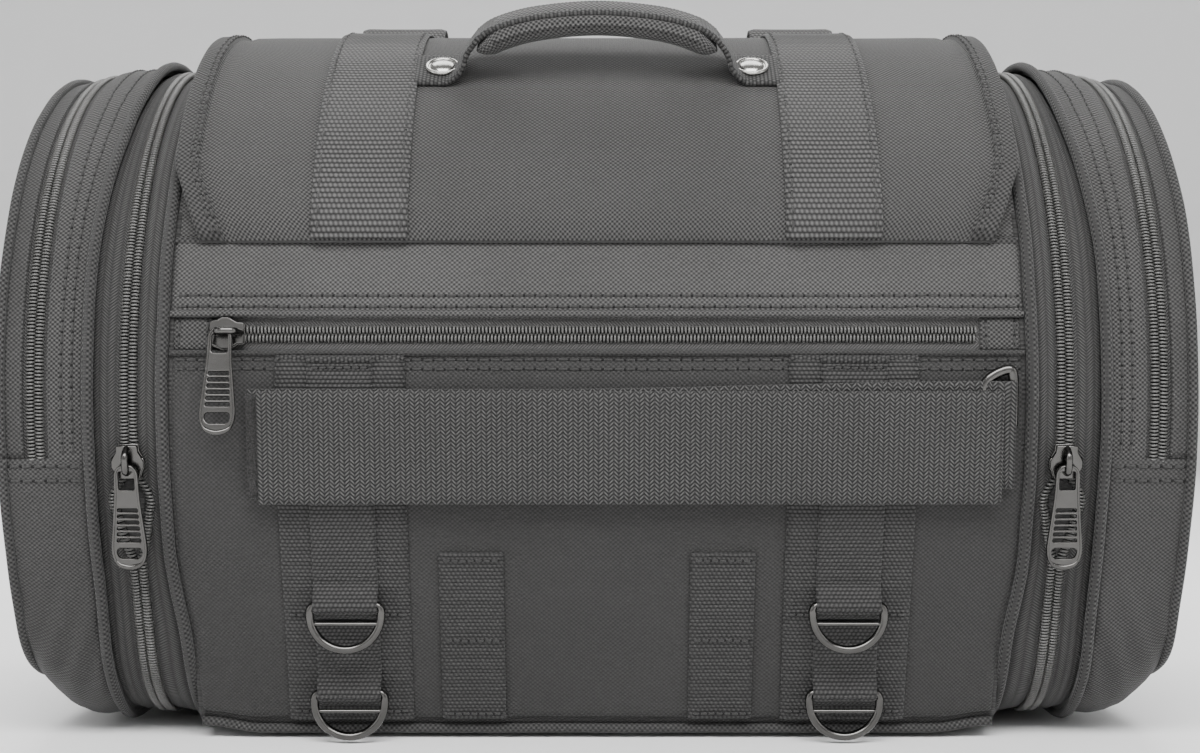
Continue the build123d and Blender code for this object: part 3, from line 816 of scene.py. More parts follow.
def plate(mesh, outline, centre, rings, place, back):
    """Closed plate filling an outline from a centre. place and back turn (y, z, share) into points."""
    def spot(i, j):
        y, z = outline[j]
        share = i / rings
        return centre[0] + (y - centre[0]) * share, centre[1] + (z - centre[1]) * share, share

    mesh.add(*grid_shell(
        rings + 1, len(outline),
        lambda i, j: place(*spot(i, j)), lambda i, j: back(*spot(i, j)), lambda i, j: spot(i, j)[:2],
    ))


# ---------------------------------------------------------------- main compartment
S = BODY.section
S_BASE = S.run_at(0.6)
S_HEM, S_HEM_BACK = S.run_at(8.2), S.run_at(8.2, back=True)  # where the front and rear panels end
S_FLOOR = S.run_at(9)  # where the base cloth ends
S_LOW = S.run_at(RECESS_Z[0])
S_HIGH = S.run_at(RECESS_Z[1])
S_RIM = S.run_at(RIM_Z)
S_RIM_BACK = S.run_at(RIM_Z, back=True)
S_ZIP = (S_LOW + S_HIGH) / 2


def soft(amount, scale=55.0, seed=0.0):
    """Height of a cloth that isn't quite flat."""
    def height(x, s):
        wide = noise.noise(Vector((x / scale, s / scale, seed)))
        fine = noise.noise(Vector((x / 17, s / 17, seed + 4)))
        return amount * (wide + 0.25 * fine)
    return height


def roll_line(s, h, wave=0.0, scale=20, row=0):
    """Points along the whole roll at one run, with a slight wave in their height."""
    xs = stations(-BODY_HALF, BODY_HALF, 4)
    return [BODY.point(x, s, h + wave * smooth_noise((x, row, 0), scale)) for x in xs]


def roll_stitches(s, h):
    """Row of stitches along the whole roll."""
    stitch_line("root", BODY, [(-BODY_HALF + 2, s), (BODY_HALF - 2, s)], h)


def make_body_panels():
    xs = stations(-BODY_HALF, BODY_HALF, 4.0, 2.0)
    puff = soft(0.7, 60, 1.0)

    def front_height(x, s):
        """Pulled flat under the sewn webbing and slightly full between it."""
        free = min(abs(abs(x) - WEB_X) / 45, 1.0)
        full = 0.5 * free * math.sin(math.pi * (s - S_BASE) / (S_LOW - S_BASE))
        return puff(x, s) * (0.4 + 0.6 * free) + full

    mesh = Mesh()
    cover(mesh, BODY, xs, stations(S_HEM, S_LOW, 3.5, 1.6), front_height, CLOTH_BACK, 1.6, 1.8)
    lip = [BODY.point(x, S_LOW - 0.9, 0.5 + 0.15 * smooth_noise((x, 0, 0), 20)) for x in xs]
    tube(mesh, lip, 1.1, 8)
    # Front, rear, base and side wall cloth take a darker copy of the nylon: painted shade.
    mesh.make("front_panel_cloth", "panel_nylon", ["front_panel"])
    for inset in (3.6, 7.2):
        roll_stitches(S_LOW - inset, front_height)

    mesh = Mesh()
    facing = soft(0.35, 50, 2.0)
    runs = stations(S_HIGH, S_RIM, 3.0, 1.8)
    cover(mesh, BODY, xs, runs, lambda x, s: facing(x, s) + 0.6, CLOTH_BACK, 1.8, 1.5)
    lip = [BODY.point(x, S_HIGH + 1.0, 0.9 + 0.15 * smooth_noise((x, 3, 0), 20)) for x in xs]
    tube(mesh, lip, 1.2, 8)
    for side in (-1, 1):
        cover(
            mesh, BODY, mirrored(side, 153.0, BODY_HALF, 2.4), stations(S_RIM + 1, S_RIM_BACK - 1, 4.0),
            lambda x, s: 8.2 * ease((BODY.section.at(s)[1] - 205) / 70) - 0.6, -2.6,
        )
    # The facing wears a lighter copy of the nylon: painted light.
    mesh.make("front_facing_cloth", "facing_nylon", ["front_facing"])
    for inset in (4.0, 8.4):
        roll_stitches(S_HIGH + inset, lambda x, s: facing(x, s) + 0.62)

    mesh = Mesh()
    runs = stations(S_RIM_BACK, S_HEM_BACK, 3.5, 1.6)
    cover(mesh, BODY, xs, runs, soft(0.7, 60, 5.0), CLOTH_BACK, 1.6, 1.8)
    mesh.make("rear_panel_cloth", "panel_nylon", ["rear_panel"])
    mesh = Mesh()
    cover(mesh, BODY, xs, stations(-S_FLOOR, S_FLOOR, 4.0), -1.0, CLOTH_BACK)
    mesh.make("base_cloth", "panel_nylon", ["base_panel"])

    mesh = Mesh()
    for s in (S.run_at(4.6), S.run_at(4.6, back=True)):
        tube(mesh, roll_line(s, 0.9, 0.2, 30), 2.0, 10)
    mesh.make("base_piping_cord", "binding", ["base_piping"])

    mesh = Mesh()
    for s in (S_RIM, S_RIM_BACK):
        tube(mesh, roll_line(s, -1.2), 2.1, 10)
    mesh.make("rim_binding_tape", "binding", ["rim_binding"])

    mesh = Mesh()
    wall = [(y, z) for y, z, _, _ in S.points]
    for side in (-1, 1):
        x = side * 164.6
        plate(
            mesh, wall, (0.0, CENTRE_Z), 14,
            lambda y, z, share: body_warp(Vector((x + side * 1.2, y * 0.997, 0.5 + z * 0.997))),
            lambda y, z, share: body_warp(
                Vector((x - side * (1.2 + 0.8 * math.sin(math.pi * share)), y * 0.997, 0.5 + z * 0.997))
            ),
        )
    mesh.make("side_wall_cloth", "panel_nylon", ["side_walls"])


def make_front_zip():
    x0, x1 = -146.0, 147.0
    mesh = Mesh()
    xs = stations(-BODY_HALF, BODY_HALF, 4.0)
    cover(mesh, BODY, xs, stations(S_LOW - 2, S_HIGH + 2, 2.0), -2.0, CLOTH_BACK)
    # The front tape's light finish is painted light in the shaded recess.
    mesh.make("front_tape_cloth", "front_zip_tape", ["front_zip_tape"])
    mesh = Mesh()
    coil(mesh, lambda run, across, out: BODY.point(x0 + run, S_ZIP + across, -2.1 + out), x1 - x0)
    mesh.make("front_coil", COIL, ["front_zip_chain"])
    mesh = Mesh()
    for a, b in ((-163.5, -148.0), (148.0, 163.5)):
        runs = stations(S_LOW - 0.5, S_HIGH + 0.5, 2.0)
        cover(mesh, BODY, stations(a, b, 2.0, 0.8), runs, -0.2, -1.9, 0.8, 0.9)
        for x in (a + 2.2, b - 2.2):
            stitch_line("root", BODY, [(x, S_LOW + 1), (x, S_HIGH - 1)], -0.15)
    mesh.make("front_zip_tabs", "nylon", ["front_zip_end_tabs"])


# ---------------------------------------------------------------- end pockets
P = POCKET.section
P_HEM = P.run_at(HEM_Z)
P_HEM_BACK = P.run_at(HEM_Z, back=True)


def cap_x(y, z):
    """Distance of the bulged end from the middle of the roll."""
    return CAP_X - (y * y + (z - CENTRE_Z) ** 2) / (2 * CAP_SPHERE)


def make_rings(side):
    """The expansion zip with its tape and the corded seams on both sides of it."""
    label = "left" if side < 0 else "right"
    inner, mid = Mesh(), Mesh()
    piping(inner, POCKET, side * 167.6, 0.7, 2.4)
    piping(mid, POCKET, side * 196.0, 2.0, 2.2)
    tape = Mesh()

    def valley(x, s):
        """The tape's two halves rise from the coil to the corded seams."""
        away = min(abs(abs(x) - RING_ZIP_X) / 11, 1.0)
        crease = max(0.0, (away - 0.72) / 0.28)
        bowl = 2.9 * away * away - 2.0 * crease * crease
        return RING_TAPE_DEPTH + bowl + 0.25 * smooth_noise((x, s, 0), 30, side)

    xs = mirrored(side, 169.4, 194.6, 1.6)
    cover(tape, POCKET, xs, stations(0.0, P.length, 3.2), valley, lambda x, s: valley(x, s) - 1.0)
    tape.make(f"{label}_ring_tape", "zip_tape", ["ring_zip_tapes"])
    chain = Mesh()
    slider = P.run_at(CENTRE_Z - RADIUS * math.sin(math.radians(12)))
    open_from, open_to = (slider - below for below in RING_OPENING)

    def spread(s):
        """The two rows of teeth stand apart just below the slider."""
        if not open_from < s < open_to:
            return 0.0
        t = (open_to - s) / (open_to - open_from)
        return OPENING_WIDTH * math.sin(math.pi * min(t * 1.7, 0.5 + t * 0.5)) ** 0.8

    def on_tape(run, across, out):
        h = RING_TAPE_DEPTH + out + 0.02 * across * across
        return POCKET.point(side * RING_ZIP_X + across, run, h)

    coil(chain, on_tape, P.length, spread)
    # Cloth seen down the opening takes the darker loop_pile finish: painted shade inside the opening.
    slit_shade = Mesh()
    shares = stations(-1, 1, 0.25)
    cover(
        slit_shade, POCKET, shares, stations(open_from + 1, open_to - 1, 1.2), -1.6, -2.4,
        shift=lambda u, s: (side * RING_ZIP_X + u * max(0.3, spread(s) - 0.2), s),
    )
    slit_shade.make(f"{label}_ring_opening", "loop_pile", slot="zip_tape")
    chain.make(f"{label}_ring_coil", COIL, ["ring_zip_chains"])
    inner.make(f"{label}_inner_cord", "binding", ["inner_pipings"])
    mid.make(f"{label}_mid_cord", "binding", ["mid_pipings"])


def make_cap(mesh, side, low):
    """Bulged end of the pocket, above or below the hem."""
    z0 = HEM_Z - 0.1 if low else HEM_Z + 0.2
    first, last, count = (P_HEM_BACK, P.length + P_HEM, 96) if low else (P_HEM, P_HEM_BACK, 128)
    outline = [P.at(first + (last - first) * i / count)[:2] for i in range(count + 1)]

    def face(y, z, share):
        wide, fine = smooth_noise((y, z, side * 10), 48, 3.0), smooth_noise((y, z, 0), 18, 7.0)
        dimple = 0.7 * wide + 0.25 * fine
        roll = 2.2 * max(0.0, (share - 0.93) / 0.07) ** 2
        z = min(z, z0) if low else max(z, z0)
        return pocket_warp(Vector((side * (cap_x(y, z) + dimple - roll), y, z)))

    def inside(y, z, _):
        z = min(z, z0) if low else max(z, z0)
        inner_z = CENTRE_Z + (z - CENTRE_Z) * 0.985
        return pocket_warp(Vector((side * (cap_x(y, z) - 3.5), y * 0.985, inner_z)))

    plate(mesh, outline, (0.0, z0), 26, face, inside)


def make_pocket(side):
    label = "left" if side < 0 else "right"
    above = stations(P_HEM - 3, P_HEM_BACK + 3, 3.2)
    gusset_puff = soft(0.3, 30, side)

    gusset = Mesh()
    xs = mirrored(side, 197.4, 212.4, 1.9)

    def gusset_height(x, s):
        return 0.4 + gusset_puff(x, s) - 1.5 * max(0.0, (abs(x) - 209.5) / 3) ** 2

    cover(gusset, POCKET, xs, above, gusset_height, -1.8)
    gusset.make(f"{label}_gusset_cloth", "nylon", ["pocket_gussets"])
    for x in (202.4, 206.4):
        stitch_line("root", POCKET, [(side * x, P_HEM + 2), (side * x, P_HEM_BACK - 2)], gusset_height)

    tape = Mesh()
    xs = mirrored(side, 211.8, 222.4, 1.7)

    def tape_height(x, _):
        away = min(abs(abs(x) - POCKET_ZIP_X) / 5, 1.0)
        return -1.7 + 0.8 * away * away

    cover(tape, POCKET, xs, above, tape_height, lambda x, _: tape_height(x, 0) - 0.9)
    tape.make(f"{label}_pocket_tape", "zip_tape", ["pocket_zip_tapes"])
    chain = Mesh()
    start = P_HEM - 2

    def on_zip(run, across, out):
        return POCKET.point(side * POCKET_ZIP_X + across, start + run, -1.8 + out)

    coil(chain, on_zip, P_HEM_BACK - P_HEM + 4)
    chain.make(f"{label}_pocket_coil", COIL, ["pocket_zip_chains"])

    lower = Mesh()
    puff = soft(0.9, 34, side + 6)
    xs = mirrored(side, 197.6, 229.6, 2.2)

    def lower_height(x, s):
        """Full below the hem, with a slack fold or two towards the bottom corner."""
        z = P.at(s)[1]
        down = max(0.0, 1 - z / HEM_Z)
        fold = 1.1 * math.sin((abs(x) * 0.55 + z * 0.2)) * down * math.exp(-((z - 38) / 26) ** 2)
        return 1.0 + puff(x, s) * (0.35 + down) + fold

    ss = stations(P_HEM_BACK, P.length + P_HEM, 3.0)
    cover(lower, POCKET, xs, ss, lower_height, -1.6, 1.2, 0.8)
    make_cap(lower, side, True)
    # The lower pocket takes a darker copy of the nylon: painted shade.
    lower.make(f"{label}_lower_pocket", "pocket_nylon", ["pocket_lower_panels", "pocket_hems"])
    for inset in (2.6, 8.4):
        for hem, sign in ((P_HEM, -1), (P_HEM_BACK, 1)):
            s = hem + sign * inset
            stitch_line("root", POCKET, [(side * 199.5, s), (side * 227.5, s)], lower_height)

    lid = Mesh()
    xs = mirrored(side, 221.7, 229.6, 1.3, 0.5)
    cover(lid, POCKET, xs, stations(P_HEM + 0.3, P_HEM_BACK - 0.3, 3.0), 0.3, -2.2, 0.3, 0.3)
    make_cap(lid, side, False)
    # The lid takes the same darker copy of the nylon: painted shade.
    lid.make(f"{label}_lid_cloth", "pocket_nylon", [f"{label}_lid_panel"], body=f"{label}_lid")

    cord = Mesh()
    piping(cord, POCKET, side * 229.8, 0.9, 2.0, P_HEM + 0.8, P_HEM_BACK - 0.8)
    cord.make(f"{label}_lid_cord", "binding", [f"{label}_lid_piping"], body=f"{label}_lid")
    cord = Mesh()
    piping(cord, POCKET, side * 229.8, 0.9, 2.0, P_HEM_BACK - 0.6, P.length + P_HEM + 0.6)
    cord.make(f"{label}_lower_cord", "binding", ["lower_end_pipings"])


def make_pocket_insides():
    backs, folds = Mesh(), Mesh()
    wall = [(y, z) for y, z, _, _ in P.points]
    for side in (-1, 1):
        x = side * 195.4
        plate(
            backs, wall, (0.0, CENTRE_Z), 14,
            lambda y, z, share: Vector((x + side * 0.8, y * 0.98, 3.0 + z * 0.98)),
            lambda y, z, share: Vector(
                (x - side * (0.8 + 0.6 * math.sin(math.pi * share)), y * 0.98, 3.0 + z * 0.98)
            ),
        )
        xs = mirrored(side, 174.0, 192.0, 1.0)

        def pleat(v, _):
            return -6.0 + 0.9 * math.sin(abs(v) * 1.4)

        cover(folds, POCKET, xs, stations(0.0, P.length, 4), pleat, lambda v, _: pleat(v, 0) - 1.0)
    backs.make("pocket_back_cloth", "nylon", ["pocket_backs"])
    folds.make("expansion_folds", "nylon", ["expansion_gussets"])
    lining = Mesh()
    runs = stations(S.run_at(60), S.run_at(180), 4)
    cover(lining, BODY, stations(-158, 158, 5), runs, soft(0.3, 60, 9), -1.0)
    for i, v in enumerate(lining.verts):
        lining.verts[i] = v + Vector((0, 4.4, -0.5))
    lining.make("pocket_lining_cloth", "nylon", ["front_pocket_lining"])


# ---------------------------------------------------------------- flap
F = FLAP.section


def flap_half(s):
    """Half width of the flap at a run: its front corners are cut off at a slant."""
    z = F.at(s)[1]
    if s > F.length / 2 or z > FLAP_Z[0] + 30:
        return FLAP_HALF
    return FLAP_HALF - 12 * (1 - (z - FLAP_Z[0]) / 30)


def flap_height(x, s):
    """Padded top: full in the middle, held down along its binding and tucked in at its front seam."""
    inset = flap_half(s) - abs(x)
    edge = max(0, min(1.0, inset / 26))
    seam = max(0, min(1.0, s / 30, (F.length - s) / 30))
    tuck = 3.4 * max(0.0, 1 - s / 11) ** 2 + 1.5 * math.exp(-(((inset - 11.4) / 1.7) ** 2))
    return 0.9 * edge**0.5 * seam**0.5 + 0.5 * smooth_noise((x, s, 0), 60, 2.0) - tuck


def make_flap():
    mesh = Mesh()
    shares = stations(-1.0, 1.0, 0.025, 0.012)
    ss = stations(0, F.length, 3.0, 1.5)

    def fit(u, s):
        return u * flap_half(s), s

    cover(
        mesh, FLAP, shares, ss, lambda u, s: flap_height(u * flap_half(s), s),
        lambda u, s: -3.6 - 1.6 * max(0.0, 1 - s / 11), shift=fit,
    )
    mesh.uvs = [(u * FLAP_HALF, s) for u, s in mesh.uvs]
    mesh.make("flap_cloth", "nylon", ["flap"], body="flap")

    trim = Mesh()
    for side in (-1, 1):
        xs = mirrored(side, 0.0, 10.0, 1.2, 0.5)

        def along_edge(u, s):
            return side * flap_half(s) - u, s

        def raised(u, s):
            return flap_height(side * flap_half(s) - u, s) + 1.35

        runs = stations(0, F.length, 2.5)
        cover(trim, FLAP, xs, runs, raised, -3.9, 1.2, 1.1, shift=along_edge)
        for inset in (6.6, 8.8):
            runs = stations(1.0, F.length - 1, 12)
            line = [(side * (flap_half(s) - inset), s) for s in runs]
            stitch_line("flap", FLAP, line, lambda x, s: flap_height(x, s) + 1.4)
    trim.make("flap_binding", "binding", ["flap_edge_binding"], body="flap")

    straps = Mesh()
    for side in (-1, 1):
        x = side * STRAP_X
        runs = stations(0.4, F.length, 4)
        path = [FLAP.point(x, s, flap_height(x, s) + 1.1) for s in runs]
        band(straps, path, (1, 0, 0), STRAP_WIDTH, 1.6)
        for inset in (-16.2, 16.2):
            line = [(x + inset, s) for s in stations(2, F.length - 12, 12)]
            stitch_line("flap", FLAP, line, lambda v, s: flap_height(v, s) + 1.95)
    # The flap straps take a lighter copy of the webbing: painted light.
    straps.make("flap_strap_webbing", "flap_webbing", ["flap_straps"], body="flap")

    loops = Mesh()
    for side in (-1, 1):
        x = side * STRAP_X

        def top(y):
            return FLAP_CENTRE_Z + math.sqrt(FLAP_RADIUS**2 - y * y) + 2.6

        profile = (
            (24, top(24) + 0.6), (29, top(29) + 1.4), (33, 306), (42, 312.4), (54, 313.2), (66, 307), (74, 292),
            (79, top(79) + 1.0), (86, top(86) + 0.4),
        )
        points = [Vector((x, y, z)) for y, z in profile]
        band(loops, smooth_curve(points), (1, 0, 0), STRAP_WIDTH + 2, 1.7)
    # The cargo loops take the same lighter webbing: painted light.
    loops.make("cargo_loop_webbing", "flap_webbing", ["cargo_loops"], body="flap")


# ---------------------------------------------------------------- handle
HANDLE_Y = -84.5
HANDLE_FOOT = Vector((0, HANDLE_Y, FLAP_CENTRE_Z + math.sqrt(FLAP_RADIUS**2 - HANDLE_Y**2) + 2.8))
HANDLE_LEAN = math.radians(20)
HANDLE_UP = Vector((0, -math.sin(HANDLE_LEAN), math.cos(HANDLE_LEAN)))
HANDLE_DEEP = Vector((0, math.cos(HANDLE_LEAN), math.sin(HANDLE_LEAN)))


def on_handle(x, rise, deep=0.0):
    return HANDLE_FOOT + Vector((x, 0, 0)) + HANDLE_UP * rise + HANDLE_DEEP * deep


HANDLE_OUT = Vector((0, HANDLE_FOOT.y, HANDLE_FOOT.z - 2.8 - FLAP_CENTRE_Z)).normalized()
HANDLE_SLOPE = Vector((0, HANDLE_OUT.z, -HANDLE_OUT.y))
HANDLE_WIDTH = 25.0


def handle_arch(heights, steps=10):
    """Curve over the handle through (distance from the middle, rise) points given on one side."""
    points = [(-x, rise) for x, rise in heights] + [(x, rise) for x, rise in reversed(heights[:-1])]
    return smooth_curve([on_handle(x, rise) for x, rise in points], steps)


def make_handle_leg(side, label):
    """One end of the strap: flat on the flap under its rivet, then twisting up into the handle."""
    floor = HANDLE_FOOT - HANDLE_OUT * 2.8
    laid = ((75, 2.2), (68, 2.3), (61, 2.4))
    flat = [floor + Vector((side * x, 0, 0)) + HANDLE_OUT * h for x, h in laid]
    rising = [on_handle(side * x, rise) for x, rise in ((55.5, 3.2), (53.2, 8.4), (49, 14.0))]
    path = along_path(smooth_curve(flat + rising, 8), 0.8)
    count = len(path)
    profile = both_faces((0.0, 0.06, 0.3, 0.5, 0.7, 0.94, 1.0))
    verts, uvs = [], []
    for i, p in enumerate(path):
        wide = HANDLE_SLOPE.lerp(HANDLE_DEEP, ease((i / (count - 1) - 0.35) / 0.5)).normalized()
        ahead = path[min(i + 1, count - 1)] - path[max(i - 1, 0)]
        up = wide.cross(ahead).normalized()
        up = up if up.dot(HANDLE_OUT) > 0 or abs(up.x) > 0.7 and up.x * side > 0 else -up
        for c, face in profile:
            half = 1.2 if 0.05 < c < 0.95 else 0.6
            verts.append(p + wide * ((c - 0.5) * HANDLE_WIDTH) + up * (face * half))
            uvs.append((c * HANDLE_WIDTH, i * 0.8))
    leg = Mesh()
    leg.add(verts, loft_faces(count, len(profile)), uvs)
    piece = leg.make(f"{label}_handle_leg", "webbing", ["handle_tabs"], body=None)
    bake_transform(piece)


def make_handle_grip():
    """Padded wrap round the middle of the strap, flattened towards its ends."""
    step, sides = 1.2, 26
    path = along_path(handle_arch(((49, 9.4), (43, 13.4), (26, 18.6), (0, 21.0))), step)
    count = len(path)
    verts, uvs = [], []
    for i, p in enumerate(path):
        from_end = min(i, count - 1 - i)
        swell = math.sqrt(max(0.0, 1 - (1 - min(from_end / (count - 1) / 0.07, 1.0)) ** 2))
        ahead = (path[min(i + 1, count - 1)] - path[max(i - 1, 0)]).normalized()
        up = HANDLE_DEEP.cross(ahead).normalized()
        up = up if up.z > 0 else -up
        top = 0.35 + 0.65 * ease((from_end * step - 3) / 9)
        for k in range(sides):
            a = 2 * math.pi * k / sides
            c, d = math.cos(a), math.sin(a)
            wide = math.copysign(abs(c) ** 0.7, c) * (10.4 + 3.2 * swell)
            high = math.copysign(abs(d) ** 0.8, d) * (1.6 + 4.6 * swell)
            verts.append(p + HANDLE_DEEP * wide + up * (high * (top if d > 0 else 1.0)))
            uvs.append((a * 9, i * step))
    grip = Mesh()
    grip.add(verts, loft_faces(count, sides), uvs)
    lip = [on_handle(p.x, (p - HANDLE_FOOT).dot(HANDLE_UP) + 0.2, -13.6) for p in path[7:-7]]
    tube(grip, lip, 0.9, 8)
    pad = grip.make("handle_grip_wrap", "grip_mesh", ["handle_grip"], body="handle")


RIVET_SHAPE = (  # radius and height of each ring of the domed cap
    (7.0, 3.2), (7.2, 4.2), (6.9, 4.9), (6.3, 5.1), (5.8, 4.6),
    (5.5, 4.1), (5.2, 4.5), (4.2, 5.3), (2.4, 5.8), (0.4, 5.95),
)


def make_handle():
    strap = Mesh()
    arch = handle_arch(((49, 14.0), (42, 18.6), (26, 23.0), (0, 25.2)))
    band(strap, arch, HANDLE_DEEP, HANDLE_WIDTH, 2.4, 1.6, 0.14)
    strap.make("handle_top_webbing", "webbing", ["handle_strap"], body="handle")
    caps = Mesh()
    for side, label in ((-1, "left"), (1, "right")):
        make_handle_leg(side, label)
        centre = HANDLE_FOOT - HANDLE_OUT * 2.8 + Vector((side * 64.0, 0, 0))
        turns = [2 * math.pi * k / 36 for k in range(36)]
        verts = [
            centre + Vector((r * math.cos(a), 0, 0)) + HANDLE_SLOPE * (r * math.sin(a)) + HANDLE_OUT * h
            for r, h in RIVET_SHAPE for a in turns
        ]
        caps.add(verts, loft_faces(len(RIVET_SHAPE), len(turns)), [(v.x, v.y) for v in verts])
    make_handle_grip()
    caps.make("handle_rivet_caps", "rivet", ["handle_rivets"], body="flap")


# ---------------------------------------------------------------- front webbing and rings
def joint_place(name):
    """Pivot of a joint, in millimetres."""
    for joint in frame["joints"]:
        if joint["name"] == name:
            return Vector(joint["pos_m"]) / MM
    raise KeyError(name)


def wall_path(x, z0, z1, h, step=3.0):
    """Points up or down the front wall between two heights."""
    return [BODY.point(x, s, h) for s in stations(S.run_at(z0), S.run_at(z1), step, least=2)]


def make_ring(label, level):
    """Wire ring: straight bar, short legs and a round bow, with a thin second bar across it."""
    name = f"{label}_{level}"
    pivot = joint_place(f"{name}_ring_swing")
    radius = RING_WIRE / 2
    half = RING_WIDTH / 2 - radius
    corner = 2.6
    bend = [i / 5 * math.pi / 2 for i in range(6)]
    bow = [i / 24 * math.pi for i in range(25)]
    path = [(half - corner + corner * math.sin(a), -corner + corner * math.cos(a)) for a in bend]
    path += [(half * math.cos(a), -RING_DROP + half + 2 * radius - half * math.sin(a)) for a in bow]
    path += [(-half + corner - corner * math.cos(a), -corner + corner * math.sin(a)) for a in bend]
    mesh = Mesh()
    tube(mesh, [pivot + Vector((x, 0, z)) for x, z in path], radius, 14, closed=True, start=(0, 1, 0))
    bar = [pivot + Vector((x, -0.4, -7.4)) for x in stations(-half, half, 3)]
    tube(mesh, bar, 0.85, 10, start=(0, 1, 0))
    mesh.make(f"{name}_wire_ring", "gunmetal", [f"{name}_tie_ring"], body=f"{name}_ring")


def fold_round(x, level, above, tail):
    """Path of narrow webbing down the wall, round a ring's bar and back to the wall."""
    pivot = joint_place(f"left_{level}_ring_swing")
    z = RING_BARS[level]
    bend = RING_WIRE / 2 + 1.1
    down = wall_path(x, above, z + 9, 2.3)
    centre = Vector((x, pivot.y, z))
    angles = (0.7, 0.2, -0.4, -1.0, -1.6, -2.2)
    turn = [centre + Vector((0, -bend * math.cos(a), bend * math.sin(a))) for a in angles]
    back = wall_path(x, z - 4.6, z - tail, 2.2)
    return along_path(down, 4) + turn + back


def cross_stitch(x, z, reach, h, pitch, back=False):
    """Row of stitches across a webbing that is reach wide on each side of x."""
    s = S.run_at(z, back)
    stitch_line("root", BODY, [(x - reach, s), (x + reach, s)], h, pitch)


def fold_edge(mesh, x, z, half, step, h, radius):
    """Rounded fold at the upper end of a sewn webbing."""
    tube(mesh, [BODY.point(x + v, S.run_at(z), h) for v in stations(-half, half, step)], radius, 8)


def make_front_webbing():
    wide, narrow, anchors, tabs = Mesh(), Mesh(), Mesh(), Mesh()
    across = (1, 0, 0)
    for side in (-1, 1):
        x = side * WEB_X
        band(wide, wall_path(x, 9.0, 154.5, 0.95), across, 50.0, 1.4)
        band(narrow, fold_round(x, "upper", 153.6, 5.0), across, NARROW, 1.4)
        band(narrow, fold_round(x, "lower", 51.0, 5.0), across, NARROW, 1.4)
        for z in (53.2, 12.5):
            for edge in (-1, 1):
                s = S.run_at(z)
                stitch_line("root", BODY, [(x + edge * 23, s), (x + edge * 14, s)], 2.0, 2.6)
        for z in (62.6, 26.2, 150.2):
            cross_stitch(x, z, 11, 3.2, 2.8)
        fold_edge(narrow, x, 153.2, 12.4, 2, 2.9, 1.3)
    for side in (-1, 1):
        fold_edge(wide, side * WEB_X, 154.0, 24.6, 3, 0.9, 1.2)
        x = side * STRAP_X
        runs = stations(S.run_at(120, True), S.run_at(186, True), 3, least=24)[:25]
        band(anchors, [BODY.point(x, s, 1.3) for s in runs], (-1, 0, 0), STRAP_WIDTH, 1.4)
        for z in (124.0, 150.0):
            cross_stitch(x, z, 16, 2.1, 2.8, back=True)
    for side in (-1, 1):
        x = side * TAB_X
        band(tabs, wall_path(x, 9.5, 78.0, 1.1), across, NARROW, 1.5)
        for z in (75.5, 42.5, 11.5):
            cross_stitch(x, z, 11, 2.05, 2.8)
    wide.make("wide_webbing_strips", "webbing", ["wide_webbing"])
    narrow.make("narrow_webbing_folds", "webbing", ["narrow_webbing", "ring_loops"])
    anchors.make("buckle_anchor_webbing", "webbing", ["buckle_anchors"])
    tabs.make("belt_tab_webbing", "webbing", ["belt_tabs"])


def make_mount_strap():
    """The long hook-and-loop strap: a hidden rear layer and the webbing tail folded back over it."""
    z = 120.0
    wall = -BODY.point(0, S.run_at(z)).y
    upper, lower = (Vector((0, *S.at(S.run_at(height))[:2])) for height in (142, 98))
    tilt = (upper - lower).normalized()

    def rear_y(x):
        return -(wall + 3.0 + 2.2 * ease((x - 148) / 10))

    def front_y(x):
        sag = 0.8 * math.exp(-(((x + 132) / 24) ** 2)) + 0.4 * smooth_noise((x, 0, 0), 70, 4.0)
        return -(wall + 5.2 + sag)

    rear = Mesh()
    xs = stations(-134, 160.5, 3)
    path = [Vector((x, rear_y(x), z + 1.5 + 3.0 * ease((x + 20) / 170))) for x in xs]
    band(rear, path, tilt, 42.0, 1.3, 1.6, 0.05)
    rear.make("mount_strap_backing", "strap_weave", ["mount_strap_rear"])
    pile = Mesh()
    path = [Vector((x, -(wall + 3.9), z)) for x in stations(-134.6, -60, 3)]
    band(pile, path, tilt, 41.0, 0.7, 1.6, 0.2)
    pile.make("mount_strap_hooks", "loop_pile", slot="webbing")
    tail = Mesh()
    path = [Vector((x, front_y(x), z - 0.5)) for x in stations(-130, 155.6, 4.0)]
    band(tail, path, tilt, 44.0, 1.9, 1.6, 0.05)
    tail.make("mount_strap_webbing", "strap_weave", ["mount_strap_tail"], body="mount_strap")
    ring = Mesh()
    y = -(wall + 5.2)
    corners = (
        (148.6, 128.0), (148.6, 138.0), (149.0, 144.2), (152.5, 147.6),
        (157.6, 149.6), (159.6, 147.5), (159.8, 138.0), (159.8, 128.0),
    )
    loop = smooth_curve([Vector((x, y + 0.25 * (142 - h) / 3, h)) for x, h in corners], 8)
    tube(ring, loop, 2.0, 12, start=(0, 1, 0), flat=0.8)
    ring.make("mount_strap_wire", "gunmetal", ["mount_strap_ring"], body="mount_strap")


